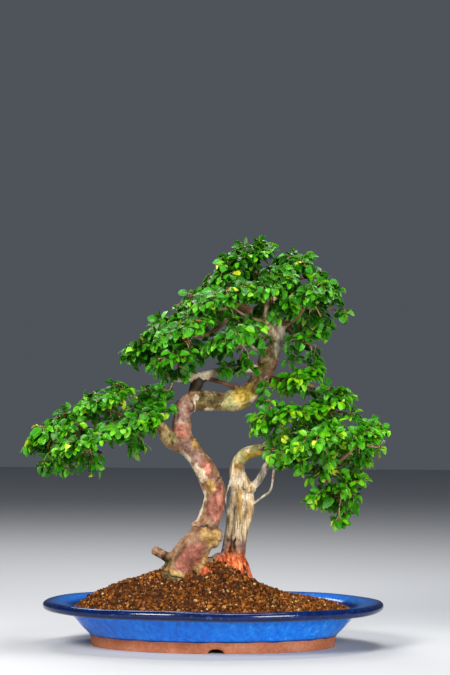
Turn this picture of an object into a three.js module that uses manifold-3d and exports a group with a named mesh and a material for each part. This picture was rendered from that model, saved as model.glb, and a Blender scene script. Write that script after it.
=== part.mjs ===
// A Chinese elm bonsai: two joined trunks, leafy sprays, a soil mound and an oval glazed pot.
// Millimetres, +Z up, +X to the right of the front view, which looks along +Y.
// The group is shifted at the end so that its origin is under the middle of its box, on the ground.
import * as THREE from "three";
import { mergeVertices } from "three/addons/utils/BufferGeometryUtils.js";
import Module from "manifold-3d";

const wasm = await Module();
wasm.setup();

// Driving dimensions
const GAP = 0.3; // clear space between neighbouring nodes
const LIP_HALF_LENGTH = 225;
const LIP_HALF_DEPTH = 166;
const POT_HEIGHT = 58.5;
const FOOT_HEIGHT = 14;
const FLOOR_UNDER = 6;
const FLOOR_TOP = 14;
const POT_SEGMENTS = 28;
const DRAIN_RADIUS = 8;
const DRAIN_SPACING = 140;
const DRAIN_SEGMENTS = 12;
const FOOT_HALF_LENGTH = 160; // at the ground
const NOTCH_WIDTH = 21;
const NOTCH_HEIGHT = 6;
const NOTCH_SEGMENTS = 12;
const CUT_LENGTH = 60; // long enough to pass through a wall
const MOUND_RING_STEPS = 5;
const GRAIN_RELIEF = 1.6;
const LEAF_LENGTH = 23;
const LEAF_WIDTH = 15;
const LEAF_THICKNESS = 0.8;
const SEED = 7;

// Colours, roughness and metalness of the parts
const FINISHES = {
  pot: { color: 0x1544b4, roughness: 0.15 },
  soil: { color: 0x4a2c1a, roughness: 0.95 },
  wood: { color: 0x9a6e52, roughness: 0.8 },
  leaf: { color: 0x3f8f1c, roughness: 0.45 },
};

const lerp = (a, b, t) => a + (b - a) * t;
const clamp01 = (t) => Math.min(1, Math.max(0, t));
const smoothstep = (t) => clamp01(t) ** 2 * (3 - 2 * clamp01(t));

// A repeatable stream of numbers from 0 to 1
function seededRandom(seed) {
  let state = seed >>> 0;
  return () => {
    state = (state + 0x6d2b79f5) >>> 0;
    let t = state;
    t = Math.imul(t ^ (t >>> 15), t | 1);
    t ^= t + Math.imul(t ^ (t >>> 7), t | 61);
    return ((t ^ (t >>> 14)) >>> 0) / 4294967296;
  };
}

// Solids from three.js geometry, and back
function solidFrom(geometry) {
  const bare = new THREE.BufferGeometry();
  bare.setAttribute("position", geometry.getAttribute("position"));
  if (geometry.index) bare.setIndex(geometry.index);
  const merged = mergeVertices(bare, 1e-4);
  const kept = [];
  const index = merged.index.array;
  for (let i = 0; i < index.length; i += 3) {
    const [a, b, c] = [index[i], index[i + 1], index[i + 2]];
    if (a !== b && b !== c && c !== a) kept.push(a, b, c);
  }
  return new wasm.Manifold(
    new wasm.Mesh({
      numProp: 3,
      vertProperties: new Float32Array(merged.attributes.position.array),
      triVerts: new Uint32Array(kept),
    }),
  );
}

function geometryFrom(solid) {
  const mesh = solid.getMesh();
  const geometry = new THREE.BufferGeometry();
  geometry.setAttribute(
    "position",
    new THREE.BufferAttribute(new Float32Array(mesh.vertProperties), 3),
  );
  geometry.setIndex(new THREE.BufferAttribute(new Uint32Array(mesh.triVerts), 1));
  geometry.computeVertexNormals();
  return geometry;
}

function largestBody(solid) {
  const bodies = solid.decompose();
  return bodies.reduce((a, b) => (b.volume() > a.volume() ? b : a));
}

function unionOf(solids) {
  return solids.reduce((whole, solid) => whole.add(solid));
}

function named(name, solid, finish) {
  const mesh = new THREE.Mesh(
    geometryFrom(solid),
    new THREE.MeshStandardMaterial({ metalness: 0, ...FINISHES[finish] }),
  );
  mesh.name = name;
  return mesh;
}

// The pot is a turned profile whose rings keep the same wall all round an oval
const OVAL_DIFFERENCE = LIP_HALF_LENGTH - LIP_HALF_DEPTH;
const FLOOR_CORNER = 146;

function ovalDepth(radius) {
  if (radius >= FLOOR_CORNER) return radius - OVAL_DIFFERENCE;
  return (radius * (FLOOR_CORNER - OVAL_DIFFERENCE)) / FLOOR_CORNER;
}

function ovalFromProfile(profile) {
  const points = profile.map(([radius, z]) => new THREE.Vector2(radius, z));
  const geometry = new THREE.LatheGeometry(points, POT_SEGMENTS);
  geometry.rotateX(Math.PI / 2);
  const position = geometry.getAttribute("position");
  for (let i = 0; i < position.count; i++) {
    const x = position.getX(i);
    const y = position.getY(i);
    const radius = Math.hypot(x, y);
    if (radius > 1e-6) position.setY(i, (y / radius) * ovalDepth(radius));
  }
  return solidFrom(geometry);
}

// Inside face of the pot, from the floor's middle out to the lip
const INNER_WALL = [
  [0, FLOOR_TOP],
  [FLOOR_CORNER, FLOOR_TOP],
  [155, 18],
  [184, 43],
  [189, 50],
];

function makePot() {
  const profile = [
    [0, FLOOR_UNDER],
    [FLOOR_CORNER, FLOOR_UNDER],
    [148, 0],
    [FOOT_HALF_LENGTH, 0],
    [163, FOOT_HEIGHT],
    [173, 24],
    [188, 44],
    [219, 46.5],
    [225, 51],
    [224, 56.5],
    [219, POT_HEIGHT],
    [193, 54.5],
    ...[...INNER_WALL].reverse(),
  ];
  let pot = ovalFromProfile(profile);
  for (const side of [-1, 1]) {
    const drain = new THREE.CylinderGeometry(DRAIN_RADIUS, DRAIN_RADIUS, CUT_LENGTH, DRAIN_SEGMENTS);
    drain.rotateX(Math.PI / 2);
    drain.translate((side * DRAIN_SPACING) / 2, 0, FLOOR_TOP);
    const notch = new THREE.CylinderGeometry(NOTCH_WIDTH / 2, NOTCH_WIDTH / 2, CUT_LENGTH, NOTCH_SEGMENTS);
    notch.scale(1, 1, (2 * NOTCH_HEIGHT) / NOTCH_WIDTH);
    notch.translate(0, side * ovalDepth(FOOT_HALF_LENGTH), 0);
    pot = pot.subtract(solidFrom(drain)).subtract(solidFrom(notch));
  }
  return pot;
}

// The soil fills the pot up to the lip and rises to a peak at the roots
const SOIL_EDGE = 188;
const SOIL_EDGE_HEIGHT = 52.5;

function inwardOffset([radius, z]) {
  return [Math.max(0, radius - (radius > 0 ? GAP * 1.3 : 0)), z + GAP];
}

// Height of the mound along the pot, where X is the first number of each pair
const MOUND_RIDGE = [
  [-188, 52],
  [-150, 69],
  [-110, 83],
  [-70, 95],
  [-36, 104],
  [0, 112],
  [20, 104],
  [45, 88],
  [65, 77],
  [100, 65],
  [148, 60],
  [188, 52],
];

// The ridge runs behind the pot's middle, and the mound dips before the cut end of the first trunk
const RIDGE_Y = 10;
const DIP = { at: [-46, -36], half: [31, 22], depth: 13 };

function ridgeHeight(x) {
  const at = MOUND_RIDGE.findIndex(([end]) => end >= x);
  if (at <= 0) return SOIL_EDGE_HEIGHT;
  const [x0, z0] = MOUND_RIDGE[at - 1];
  const [x1, z1] = MOUND_RIDGE[at];
  return lerp(z0, z1, smoothstep((x - x0) / (x1 - x0)) * 0.4 + ((x - x0) / (x1 - x0)) * 0.6);
}

function moundHeight(x, y) {
  const across = Math.sqrt(Math.max(0, 1 - (x / SOIL_EDGE) ** 2)) * ovalDepth(SOIL_EDGE);
  const half = across - Math.sign(y - RIDGE_Y) * RIDGE_Y;
  const share = clamp01(Math.abs(y - RIDGE_Y) / Math.max(half, 1));
  const fall = Math.exp(-((share * 1.75) ** 2)) * (1 - share ** 4) + 0.12 * (1 - share ** 6);
  const fromDip = Math.hypot((x - DIP.at[0]) / DIP.half[0], (y - DIP.at[1]) / DIP.half[1]);
  const dip = DIP.depth * Math.exp(-(fromDip ** 2));
  return SOIL_EDGE_HEIGHT + (ridgeHeight(x) - SOIL_EDGE_HEIGHT) * Math.min(1, fall) - dip;
}

function makeSoil(woodWithGap) {
  const wall = INNER_WALL.map(inwardOffset);
  const [, [cornerRadius, floorZ], ...rest] = wall;
  const random = seededRandom(SEED + 1);
  const rings = [];
  const ringAt = (radius, heightOf, relief) => {
    const ring = [];
    for (let k = 0; k < POT_SEGMENTS; k++) {
      const angle = ((k + (relief ? 0.35 * random() : 0)) / POT_SEGMENTS) * 2 * Math.PI;
      const x = radius * Math.cos(angle);
      const y = ovalDepth(radius) * Math.sin(angle);
      ring.push(new THREE.Vector3(x, y, heightOf(x, y) + relief * (2 * random() - 1)));
    }
    return ring;
  };
  rings.push(ringAt(cornerRadius, () => floorZ, 0));
  for (const [radius, z] of rest.slice(0, -1)) rings.push(ringAt(radius, () => z, 0));
  for (let step = 0; step < MOUND_RING_STEPS; step++) {
    const radius = SOIL_EDGE * (1 - step / MOUND_RING_STEPS) - GAP;
    rings.push(ringAt(radius, moundHeight, step === 0 ? 0 : GRAIN_RELIEF));
  }
  const positions = [];
  const index = [];
  rings.forEach((ring) => ring.forEach((p) => positions.push(p.x, p.y, p.z)));
  const count = POT_SEGMENTS;
  for (let r = 0; r + 1 < rings.length; r++)
    for (let k = 0; k < count; k++) {
      const a = r * count + k;
      const b = r * count + ((k + 1) % count);
      index.push(a, b, b + count, a, b + count, a + count);
    }
  positions.push(0, 0, floorZ, 0, 0, moundHeight(0, 0));
  const bottom = positions.length / 3 - 2;
  const top = bottom + 1;
  const last = (rings.length - 1) * count;
  for (let k = 0; k < count; k++) {
    index.push(bottom, (k + 1) % count, k);
    index.push(top, last + k, last + ((k + 1) % count));
  }
  const geometry = new THREE.BufferGeometry();
  geometry.setAttribute("position", new THREE.Float32BufferAttribute(positions, 3));
  geometry.setIndex(index);
  return largestBody(solidFrom(geometry).subtract(woodWithGap));
}

// Wood: every stem is a route of points [x, y, z, radius] with a smooth curve through them
function sampleRoute(route, steps) {
  const curve = new THREE.CatmullRomCurve3(
    route.map(([x, y, z]) => new THREE.Vector3(x, y, z)),
    false,
    "centripetal",
  );
  const samples = [];
  for (let i = 0; i <= steps; i++) {
    const along = (i / steps) * (route.length - 1);
    const segment = Math.min(Math.floor(along), route.length - 2);
    const radius = lerp(route[segment][3], route[segment + 1][3], smoothstep(along - segment));
    samples.push({ point: curve.getPoint(i / steps), radius });
  }
  return samples;
}

function pointOn(route, share) {
  const samples = sampleRoute(route, 40);
  return samples[Math.round(share * 40)];
}

// A closed tube round a route; flute gives its section lobes, and extra thickens it all over
function tube(route, { sides, steps, flute = 0, extra }) {
  const samples = sampleRoute(route, steps);
  const positions = [];
  const index = [];
  const tangentAt = (i) => {
    const before = samples[Math.max(0, i - 1)].point;
    const after = samples[Math.min(samples.length - 1, i + 1)].point;
    return after.clone().sub(before).normalize();
  };
  let side = new THREE.Vector3(0, -1, 0);
  samples.forEach(({ point, radius }, i) => {
    const tangent = tangentAt(i);
    side = side.clone().addScaledVector(tangent, -side.dot(tangent)).normalize();
    const up = new THREE.Vector3().crossVectors(tangent, side);
    for (let k = 0; k < sides; k++) {
      const angle = (k / sides) * 2 * Math.PI;
      const lobes = 1 + flute * Math.sin(3 * angle + i * 0.7) + flute * 0.6 * Math.cos(5 * angle - i);
      const reach = radius * lobes + extra;
      const vertex = point
        .clone()
        .addScaledVector(side, reach * Math.cos(angle))
        .addScaledVector(up, reach * Math.sin(angle));
      positions.push(vertex.x, vertex.y, vertex.z);
    }
  });
  const ends = [samples[0].point, samples[samples.length - 1].point];
  ends[0].addScaledVector(tangentAt(0), -extra);
  ends[1].addScaledVector(tangentAt(samples.length - 1), samples[samples.length - 1].radius * 0.5 + extra);
  ends.forEach((p) => positions.push(p.x, p.y, p.z));
  const startCap = samples.length * sides;
  const endCap = startCap + 1;
  const last = (samples.length - 1) * sides;
  for (let i = 0; i + 1 < samples.length; i++)
    for (let k = 0; k < sides; k++) {
      const a = i * sides + k;
      const b = i * sides + ((k + 1) % sides);
      index.push(a, b, b + sides, a, b + sides, a + sides);
    }
  for (let k = 0; k < sides; k++) {
    index.push(startCap, (k + 1) % sides, k);
    index.push(endCap, last + k, last + ((k + 1) % sides));
  }
  const geometry = new THREE.BufferGeometry();
  geometry.setAttribute("position", new THREE.Float32BufferAttribute(positions, 3));
  geometry.setIndex(index);
  return solidFrom(geometry);
}

function knob([x, y, z], [rx, ry, rz], extra) {
  const geometry = new THREE.SphereGeometry(1, 6, 4);
  geometry.scale(rx + extra, ry + extra, rz + extra);
  geometry.translate(x, y, z);
  return solidFrom(geometry);
}

// The first trunk rises, leans left, turns sharply right at a knee and climbs into the crown
const TRUNK = [
  [-54, -8, 77, 13],
  [-53, -8, 87, 18],
  [-47, -8, 99, 20.5],
  [-38, -8, 112, 21.5],
  [-29, -8, 124, 21],
  [-20, -8, 137, 19],
  [-13, -8, 152, 16.2],
  [-6, -8, 170, 14.6],
  [0, -8, 192, 14.2],
  [-1, -7, 208, 14.6],
  [-7, -7, 224, 15],
  [-16, -6, 240, 13.8],
  [-28, -4, 256, 13.4],
  [-37, -2, 268, 13.6],
  [-42, 0, 284, 13],
  [-43, 1, 302, 12],
  [-40, 2, 315, 11.8],
  [-30, 3, 321, 12.4],
  [-10, 5, 322.5, 13.4],
  [8, 6, 321, 11.8],
  [27, 7, 323.5, 14],
  [41, 9, 330, 13.8],
  [54, 10, 342, 13],
  [61, 12, 356, 13],
  [68, 12, 370, 12.6],
  [74, 12, 384, 11.2],
  [80, 11, 399, 9],
];

// The second trunk is four strands, fused high up and behind, with slits between them in front
const STRANDS = {
  left: [
    [11, 20, 82, 6.2],
    [14, 21, 108, 6.4],
    [18, 22, 130, 5.9],
    [21, 23, 150, 5.6],
    [23, 24, 170, 5.5],
    [26, 25, 190, 5.8],
    [30, 26, 212, 6.5],
  ],
  front: [
    [30, 13, 82, 6.2],
    [31, 15, 110, 6.4],
    [33, 16, 130, 6],
    [32, 17, 150, 6],
    [36, 18, 176, 5.8],
    [37, 20, 190, 6],
    [34, 25, 210, 6.5],
  ],
  right: [
    [35, 24, 82, 5.8],
    [36, 24, 116, 6],
    [41, 24, 148, 5.6],
    [46, 24, 166, 5.6],
    [49, 24, 186, 5.7],
    [46, 25, 206, 5.9],
    [36, 26, 226, 6],
  ],
  back: [
    [24, 34, 82, 9.4],
    [25, 34, 110, 9.2],
    [27, 33, 140, 8.4],
    [31, 30, 184, 8],
    [31, 28, 208, 8.6],
  ],
};
const SIDE_BRANCH = [
  [44, 24, 204, 5],
  [57, 21, 213, 4.9],
  [64, 19, 224, 4.9],
  [70, 17, 236, 4.8],
  [86, 15, 248, 4.8],
];
const AERIAL_ROOTS = [
  [[46, 22, 182, 2.2], [55, 19, 187, 1.9], [65, 17, 195, 1.9], [76, 15, 206, 1.9], [81, 16, 242, 2]],
  [[22, 22, 160, 1.8], [16, 20, 180, 1.4], [16, 20, 197, 1.4], [22, 22, 216, 1.8]],
];

// Roots that flare from both trunks and dive into the soil; the first joins the two trunks
const ROOTS = [
  [[-32, 0, 108, 11], [-8, 12, 104, 9], [20, 22, 104, 8]],
  [[-46, -10, 104, 11], [-58, -12, 95, 9.5], [-62, -12, 80, 8]],
  [[-36, 0, 112, 10], [-60, 20, 98, 8], [-78, 34, 78, 5]],
  [[-26, -14, 112, 8], [-16, -28, 98, 6.5], [-6, -40, 80, 4]],
  [[13, 15, 113, 7], [5, 2, 104, 5.4], [-4, -14, 84, 3.4]],
  [[36, 18, 116, 5.2], [44, 8, 102, 3.8], [52, -2, 80, 2.6]],
  [[28, 26, 116, 7], [38, 42, 98, 5], [46, 58, 76, 3]],
];

// The burl, the knee, the ring of healed bark and the cut stub of the first trunk
const KNOBS = [
  { at: [-23, -11, 265], half: [7, 8, 8] },
  { at: [-27, -12, 158], half: [5, 7, 5] },
  { at: [0, -10, 144], half: [10.5, 12, 11] },
  { at: [-12, -15, 150], half: [14, 11, 8] },
  { at: [27, 6, 341], half: [4.5, 4.5, 4.5] },
  { at: [12, 13, 108], half: [8, 8, 10] },
];
const STUBS = [
  [[-52, -10, 110, 6.6], [-63, -14, 117, 6], [-79, -20, 126, 6]],
  [[-30, 4, 326, 7], [-27, 0, 340, 7], [-25, -1, 352, 6.6]],
  [[-27, 0, 347, 3], [4, 2, 348, 2.4], [18, 4, 344, 2.2], [32, 7, 336, 2.2]],
];

// Limbs that carry the sprays
const LIMBS = {
  leader: [
    [77, 12, 388, 9.4],
    [83, 11, 402, 8.4],
    [86, 9, 416, 7.2],
    [85, 6, 434, 6],
    [90, 0, 458, 4.4],
  ],
  arch: [
    [31, 27, 204, 9.6],
    [31, 27, 226, 9.6],
    [34, 26, 241, 9.2],
    [43, 25, 251, 9],
    [57, 22, 256, 8.4],
    [72, 19, 255, 7.8],
    [94, 12, 249, 6.8],
    [118, 4, 238, 5.6],
    [142, 0, 226, 4.4],
  ],
  crownTop: [[85, 6, 438, 5], [76, 4, 460, 4.4], [62, 2, 480, 3.6]],
  crownRight: [[86, 9, 418, 5], [104, 3, 434, 4.2], [122, 2, 444, 3.2]],
  crownBack: [[84, 12, 404, 5.6], [80, 34, 422, 5], [78, 50, 446, 4]],
  crownFront: [[82, 8, 404, 5.4], [72, -18, 416, 4.6], [64, -42, 430, 4.2], [64, -54, 446, 3.4]],
  mossy: [
    [80, 12, 398, 6.4],
    [74, 14, 416, 6],
    [58, 14, 432, 5.4],
    [38, 10, 446, 4.8],
    [12, 0, 454, 3.8],
  ],
  crownLeft: [[76, 16, 388, 5], [50, 26, 396, 4.6], [24, 38, 408, 3.8], [-14, 50, 414, 3]],
  crownLow: [[58, 14, 430, 5], [30, 6, 430, 4.2], [-12, -8, 424, 3.2]],
  pink: [
    [60, 12, 366, 5.4],
    [33, 6, 364, 4.8],
    [5, 2, 361, 4.8],
    [-27, -2, 354, 4.6],
    [-53, -6, 351, 4],
    [-74, -8, 364, 3.2],
  ],
  leftArm: [
    [-38, -2, 258, 10],
    [-53, -4, 266, 10.4],
    [-64, -6, 275, 9],
    [-71, -8, 287, 6.8],
    [-86, -8, 298, 5.2],
    [-110, -6, 298, 4.6],
    [-138, -4, 288, 4.2],
    [-172, -4, 272, 3.4],
  ],
  rightArm: [[60, 12, 352, 6], [84, 4, 350, 5], [106, -4, 350, 4.2], [130, 4, 340, 3.4]],
};

// Foliage masses: the middle of each, and its sprays, each with its place, its limb and how far along
const PADS = [
  {
    middle: [30, 2, 420],
    sprays: [
      { at: [44, 0, 503], limb: "crownTop", from: 1 },
      { at: [96, -6, 486], limb: "leader", from: 1 },
      { at: [18, 6, 478], limb: "mossy", from: 0.8 },
      { at: [136, 4, 447], limb: "crownRight", from: 1 },
      { at: [-16, -8, 444], limb: "mossy", from: 1 },
      { at: [-50, -12, 413], limb: "crownLow", from: 1 },
      { at: [-80, -8, 390], limb: "pink", from: 1, size: 0.85 },
      { at: [68, -60, 462], limb: "crownFront", from: 1 },
      { at: [14, -66, 448], limb: "crownFront", from: 0.6 },
      { at: [-38, -60, 406], limb: "crownLow", from: 0.7 },
      { at: [26, -66, 396], limb: "crownFront", from: 0.5 },
      { at: [-48, -44, 372], limb: "pink", from: 0.7, size: 0.85 },
      { at: [118, -56, 450], limb: "leader", from: 0.6 },
      { at: [76, 60, 474], limb: "crownBack", from: 1 },
      { at: [20, 64, 452], limb: "crownLeft", from: 0.6 },
      { at: [-46, 54, 406], limb: "crownLeft", from: 1 },
      { at: [114, 62, 438], limb: "crownBack", from: 0.5 },
      { at: [124, -18, 402], limb: "crownRight", from: 0.2, size: 0.7 },
    ],
  },
  {
    middle: [-140, 0, 276],
    sprays: [
      { at: [-206, -4, 271], limb: "leftArm", from: 1 },
      { at: [-182, 42, 287], limb: "leftArm", from: 0.8 },
      { at: [-168, -50, 260], limb: "leftArm", from: 0.75 },
      { at: [-142, -2, 313], limb: "leftArm", from: 0.65 },
      { at: [-102, -46, 284], limb: "leftArm", from: 0.5, size: 0.9 },
      { at: [-98, 44, 306], limb: "leftArm", from: 0.55 },
    ],
  },
  {
    middle: [140, 0, 262],
    sprays: [
      { at: [116, -14, 348], limb: "rightArm", from: 0.6, size: 0.8 },
      { at: [150, 16, 308], limb: "rightArm", from: 1 },
      { at: [84, -34, 296], limb: "arch", from: 0.5, size: 0.8 },
      { at: [190, -24, 268], limb: "arch", from: 0.95 },
      { at: [138, -54, 268], limb: "arch", from: 0.8 },
      { at: [122, 50, 276], limb: "arch", from: 0.7 },
      { at: [186, 40, 244], limb: "arch", from: 0.9 },
      { at: [110, -34, 253], limb: "arch", from: 0.65, size: 0.8 },
      { at: [168, 0, 200], limb: "arch", from: 1 },
    ],
  },
];
const SPRAYS = PADS.flatMap(({ middle, sprays }) =>
  sprays.map((spray) => ({ size: 1, ...spray, middle })),
);

// A limb ends inside the spray that grows from its tip
const TIP_RADIUS = 1.3;

function limbRoute(name) {
  const atTip = SPRAYS.find(({ limb, from }) => limb === name && from === 1);
  return atTip ? [...LIMBS[name], [...atTip.at, TIP_RADIUS]] : LIMBS[name];
}

// A branchlet bends from its limb up into the middle of its spray
function branchletRoute({ at, limb, from }) {
  const start = pointOn(LIMBS[limb], from);
  const tip = new THREE.Vector3(...at);
  const reach = tip.distanceTo(start.point);
  const middle = start.point.clone().lerp(tip, 0.5);
  middle.z -= reach * 0.1;
  const radius = Math.min(start.radius * 0.8, 1.5 + reach * 0.02);
  return [
    [...start.point.toArray(), radius],
    [...middle.toArray(), radius * 0.82],
    [...tip.toArray(), TIP_RADIUS],
  ];
}

// How finely the first trunk is faceted, and how deep its lobes are
const TRUNK_FACETS = { sides: 9, steps: 20, flute: 0.045 };

function makeWood(extra) {
  const pieces = [tube(TRUNK, { ...TRUNK_FACETS, extra })];
  const stem = (route, sides, steps = route.length - 1) => pieces.push(tube(route, { sides, steps, extra }));
  Object.values(STRANDS).forEach((route) => stem(route, 5));
  stem(SIDE_BRANCH, 5);
  AERIAL_ROOTS.forEach((route) => stem(route, 4));
  [...ROOTS, ...STUBS].forEach((route) => stem(route, 5, 3));
  KNOBS.forEach(({ at, half }) => pieces.push(knob(at, half, extra)));
  Object.keys(LIMBS).forEach((name) => stem(limbRoute(name), 5));
  SPRAYS.filter(({ from }) => from < 1).forEach((spray) => stem(branchletRoute(spray), 3));
  return unionOf(pieces);
}

// A leafy twig is one arched blade cut to its rib: alternate leaves in two ranks and one at the tip
const TWIG_HALF_WIDTH = 1.3;
const TWIG_FIRST_LEAF = 5;
const LEAF_SPACING = 13;
const TIP_LEAF_GAP = 11;
const LEAF_LEAN = 0.9;
const LEAF_WIDEST = 0.4;

// One edge of the twig, from its root to the widest place of the leaf at its tip
function twigEdge(leafPlaces, end) {
  const half = LEAF_WIDTH / 2;
  const edge = [];
  for (const x of leafPlaces) {
    const place = (along, across) => [
      x + along * Math.cos(LEAF_LEAN) - across * Math.sin(LEAF_LEAN),
      TWIG_HALF_WIDTH + along * Math.sin(LEAF_LEAN) + across * Math.cos(LEAF_LEAN),
    ];
    edge.push([x, TWIG_HALF_WIDTH]);
    edge.push(place(LEAF_LENGTH * LEAF_WIDEST, half));
    edge.push(place(LEAF_LENGTH * 0.95, 0));
    edge.push(place(LEAF_LENGTH * LEAF_WIDEST, -half));
  }
  edge.push([end, TWIG_HALF_WIDTH], [end + LEAF_LENGTH * LEAF_WIDEST, half]);
  return edge;
}

function twigOutline(pairs) {
  const onRight = [];
  const onLeft = [];
  for (let pair = 0; pair < pairs; pair++) {
    onRight.push(TWIG_FIRST_LEAF + pair * LEAF_SPACING);
    onLeft.push(TWIG_FIRST_LEAF + (pair + 0.5) * LEAF_SPACING);
  }
  const end = onLeft[pairs - 1] + TIP_LEAF_GAP;
  const right = twigEdge(onRight, end);
  const left = twigEdge(onLeft, end).map(([x, y]) => [x, -y]);
  return [[0, 0], ...right, [end + LEAF_LENGTH, 0], ...left.reverse()];
}

function twigGeometry(outline, droop) {
  const flat = outline.map(([x, y]) => new THREE.Vector2(x, y));
  const faces = THREE.ShapeUtils.triangulateShape(
    THREE.ShapeUtils.isClockWise(flat) ? flat.reverse() : flat,
    [],
  );
  const positions = [];
  for (const side of [0.5, -0.5])
    for (const { x, y } of flat) {
      const arch = -droop * x * x - 0.012 * y * y + 0.18 * Math.abs(y);
      positions.push(x, y, arch + side * LEAF_THICKNESS);
    }
  const index = [];
  const count = flat.length;
  for (const [a, b, c] of faces) index.push(a, b, c, c + count, b + count, a + count);
  for (let i = 0; i < count; i++) {
    const j = (i + 1) % count;
    index.push(i, i + count, j + count, i, j + count, j);
  }
  const geometry = new THREE.BufferGeometry();
  geometry.setAttribute("position", new THREE.Float32BufferAttribute(positions, 3));
  geometry.setIndex(index);
  return geometry;
}

// Turns a twig so that it leaves a point along a direction, with its upper face outwards
function placedTwig(geometry, start, along, outward, roll) {
  const upper = outward
    .clone()
    .addScaledVector(along, -along.dot(outward))
    .normalize()
    .applyAxisAngle(along, roll);
  const across = new THREE.Vector3().crossVectors(upper, along);
  const basis = new THREE.Matrix4().makeBasis(along, across, upper);
  basis.setPosition(start);
  return solidFrom(geometry.clone().applyMatrix4(basis));
}

// The core of a spray is a tuft: a sphere whose points stand out like close-set leaves
const CORE_HALF = [33, 31, 24];
const CORE_POINTS = 8;
const CORE_ROWS = 5;
const LEAF_POINT_REACH = 1.15;
const HOLLOW_REACH = 0.52;
const POLE_REACH = 0.8;
const REACH_SPREAD = 0.25;

// How far a tuft may reach along a direction before it comes to a plane between it and a neighbour
function reachInCell(spray, direction, wanted) {
  let reach = wanted;
  for (const other of SPRAYS) {
    const toward = new THREE.Vector3(...other.at).sub(new THREE.Vector3(...spray.at));
    const apart = toward.length();
    const facing = other === spray ? 0 : direction.dot(toward) / apart;
    const share = spray.size / (spray.size + other.size);
    if (facing > 0) reach = Math.min(reach, (apart * share - GAP) / facing);
  }
  return reach;
}

function sprayCore(spray, random) {
  const sphere = new THREE.SphereGeometry(1, CORE_POINTS, CORE_ROWS);
  const reach = [];
  for (let row = 0; row <= CORE_ROWS; row++)
    for (let k = 0; k < CORE_POINTS; k++) {
      const isPole = row === 0 || row === CORE_ROWS;
      const standsOut = (row + k) % 2 === 0;
      const usual = standsOut ? LEAF_POINT_REACH : HOLLOW_REACH;
      reach.push(isPole ? POLE_REACH : usual + REACH_SPREAD * random());
    }
  const turn = random() * Math.PI;
  const half = new THREE.Vector3(...CORE_HALF).multiplyScalar(spray.size);
  const position = sphere.getAttribute("position");
  for (let i = 0; i < position.count; i++) {
    const row = Math.floor(i / (CORE_POINTS + 1));
    const column = (i % (CORE_POINTS + 1)) % CORE_POINTS;
    const point = new THREE.Vector3().fromBufferAttribute(position, i);
    point.applyAxisAngle(new THREE.Vector3(1, 0, 0), Math.PI / 2);
    point.applyAxisAngle(new THREE.Vector3(0, 0, 1), turn);
    point.multiply(half).multiplyScalar(reach[row * CORE_POINTS + column]);
    const wanted = point.length();
    const direction = point.normalize();
    const place = new THREE.Vector3(...spray.at);
    place.addScaledVector(direction, reachInCell(spray, direction, wanted));
    position.setXYZ(i, place.x, place.y, place.z);
  }
  return solidFrom(sphere);
}

// Twigs leave the core like shingles of the foliage mass: flat to its surface, face outwards
const TWIGS_PER_SPRAY = 2;
const TWIG_PAIRS = 2;
const TWIG_LIFT = 0.3;
const TWIG_TRIES = 60;
const TWIG_ROOT = 14;
const UPWARD_LEAN = 0.35;

function overlaps(solid, others) {
  const box = solid.boundingBox();
  return others.some((other) => {
    const far = [0, 1, 2].some(
      (axis) => other.box.min[axis] > box.max[axis] || other.box.max[axis] < box.min[axis],
    );
    return !far && solid.intersect(other.solid).volume() > 0;
  });
}

function makeSpray(spray, core, random, neighbours, woodWithGap) {
  const middle = new THREE.Vector3(...spray.at);
  const outward = middle.clone().sub(new THREE.Vector3(...spray.middle)).normalize();
  outward.z += UPWARD_LEAN;
  outward.normalize();
  const level = new THREE.Vector3(-outward.y, outward.x, 0.001).normalize();
  const steep = new THREE.Vector3().crossVectors(outward, level);
  const turn = random() * 2 * Math.PI;
  const own = [];
  for (let k = 0; k < TWIGS_PER_SPRAY; k++) {
    const base = turn + (k / TWIGS_PER_SPRAY) * 2 * Math.PI;
    for (let attempt = 0; attempt < TWIG_TRIES; attempt++) {
      const angle = base + (random() - 0.5) * (0.6 + attempt * 0.08);
      const lift = TWIG_LIFT + attempt * 0.02 + (random() - 0.5) * 0.5;
      const direction = level
        .clone()
        .multiplyScalar(Math.cos(angle))
        .addScaledVector(steep, Math.sin(angle))
        .addScaledVector(outward, lift)
        .normalize();
      const start = middle.clone().addScaledVector(direction, TWIG_ROOT);
      const shape = twigGeometry(twigOutline(TWIG_PAIRS), 0.003 + 0.004 * random());
      const twig = placedTwig(shape, start, direction, outward, (random() - 0.5) * 0.9);
      const lifted = [-0.5, 0.5].map((dz) => twig.translate([0, 0, dz]));
      const clear = lifted.every((copy) => !overlaps(copy, neighbours) && !overlaps(copy, own));
      if (!clear) continue;
      own.push({ solid: twig, box: twig.boundingBox() });
      break;
    }
  }
  const whole = unionOf([core, ...own.map((twig) => twig.solid)]);
  return largestBody(whole.subtract(woodWithGap));
}

const NEAR = 160; // sprays further apart than this never touch

function makeSprays(woodWithGap) {
  const bodies = SPRAYS.map((spray, i) => {
    const core = sprayCore(spray, seededRandom(SEED * 500 + i));
    return { at: spray.at, solid: core, box: core.boundingBox() };
  });
  return SPRAYS.map((spray, i) => {
    const near = bodies.filter(
      ({ at }, j) => j !== i && Math.hypot(...at.map((v, k) => v - spray.at[k])) < NEAR,
    );
    const solid = makeSpray(spray, bodies[i].solid, seededRandom(SEED * 1000 + i), near, woodWithGap);
    bodies[i] = { at: spray.at, solid, box: solid.boundingBox() };
    return { name: "spray_" + String(i + 1).padStart(2, "0"), solid };
  });
}

const bonsai = new THREE.Group();
const wood = makeWood(0);
const woodWithGap = makeWood(GAP);
bonsai.add(named("pot", makePot(), "pot"));
bonsai.add(named("soil", makeSoil(woodWithGap), "soil"));
bonsai.add(named("wood", wood, "wood"));
makeSprays(woodWithGap).forEach(({ name, solid }) => bonsai.add(named(name, solid, "leaf")));

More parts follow.
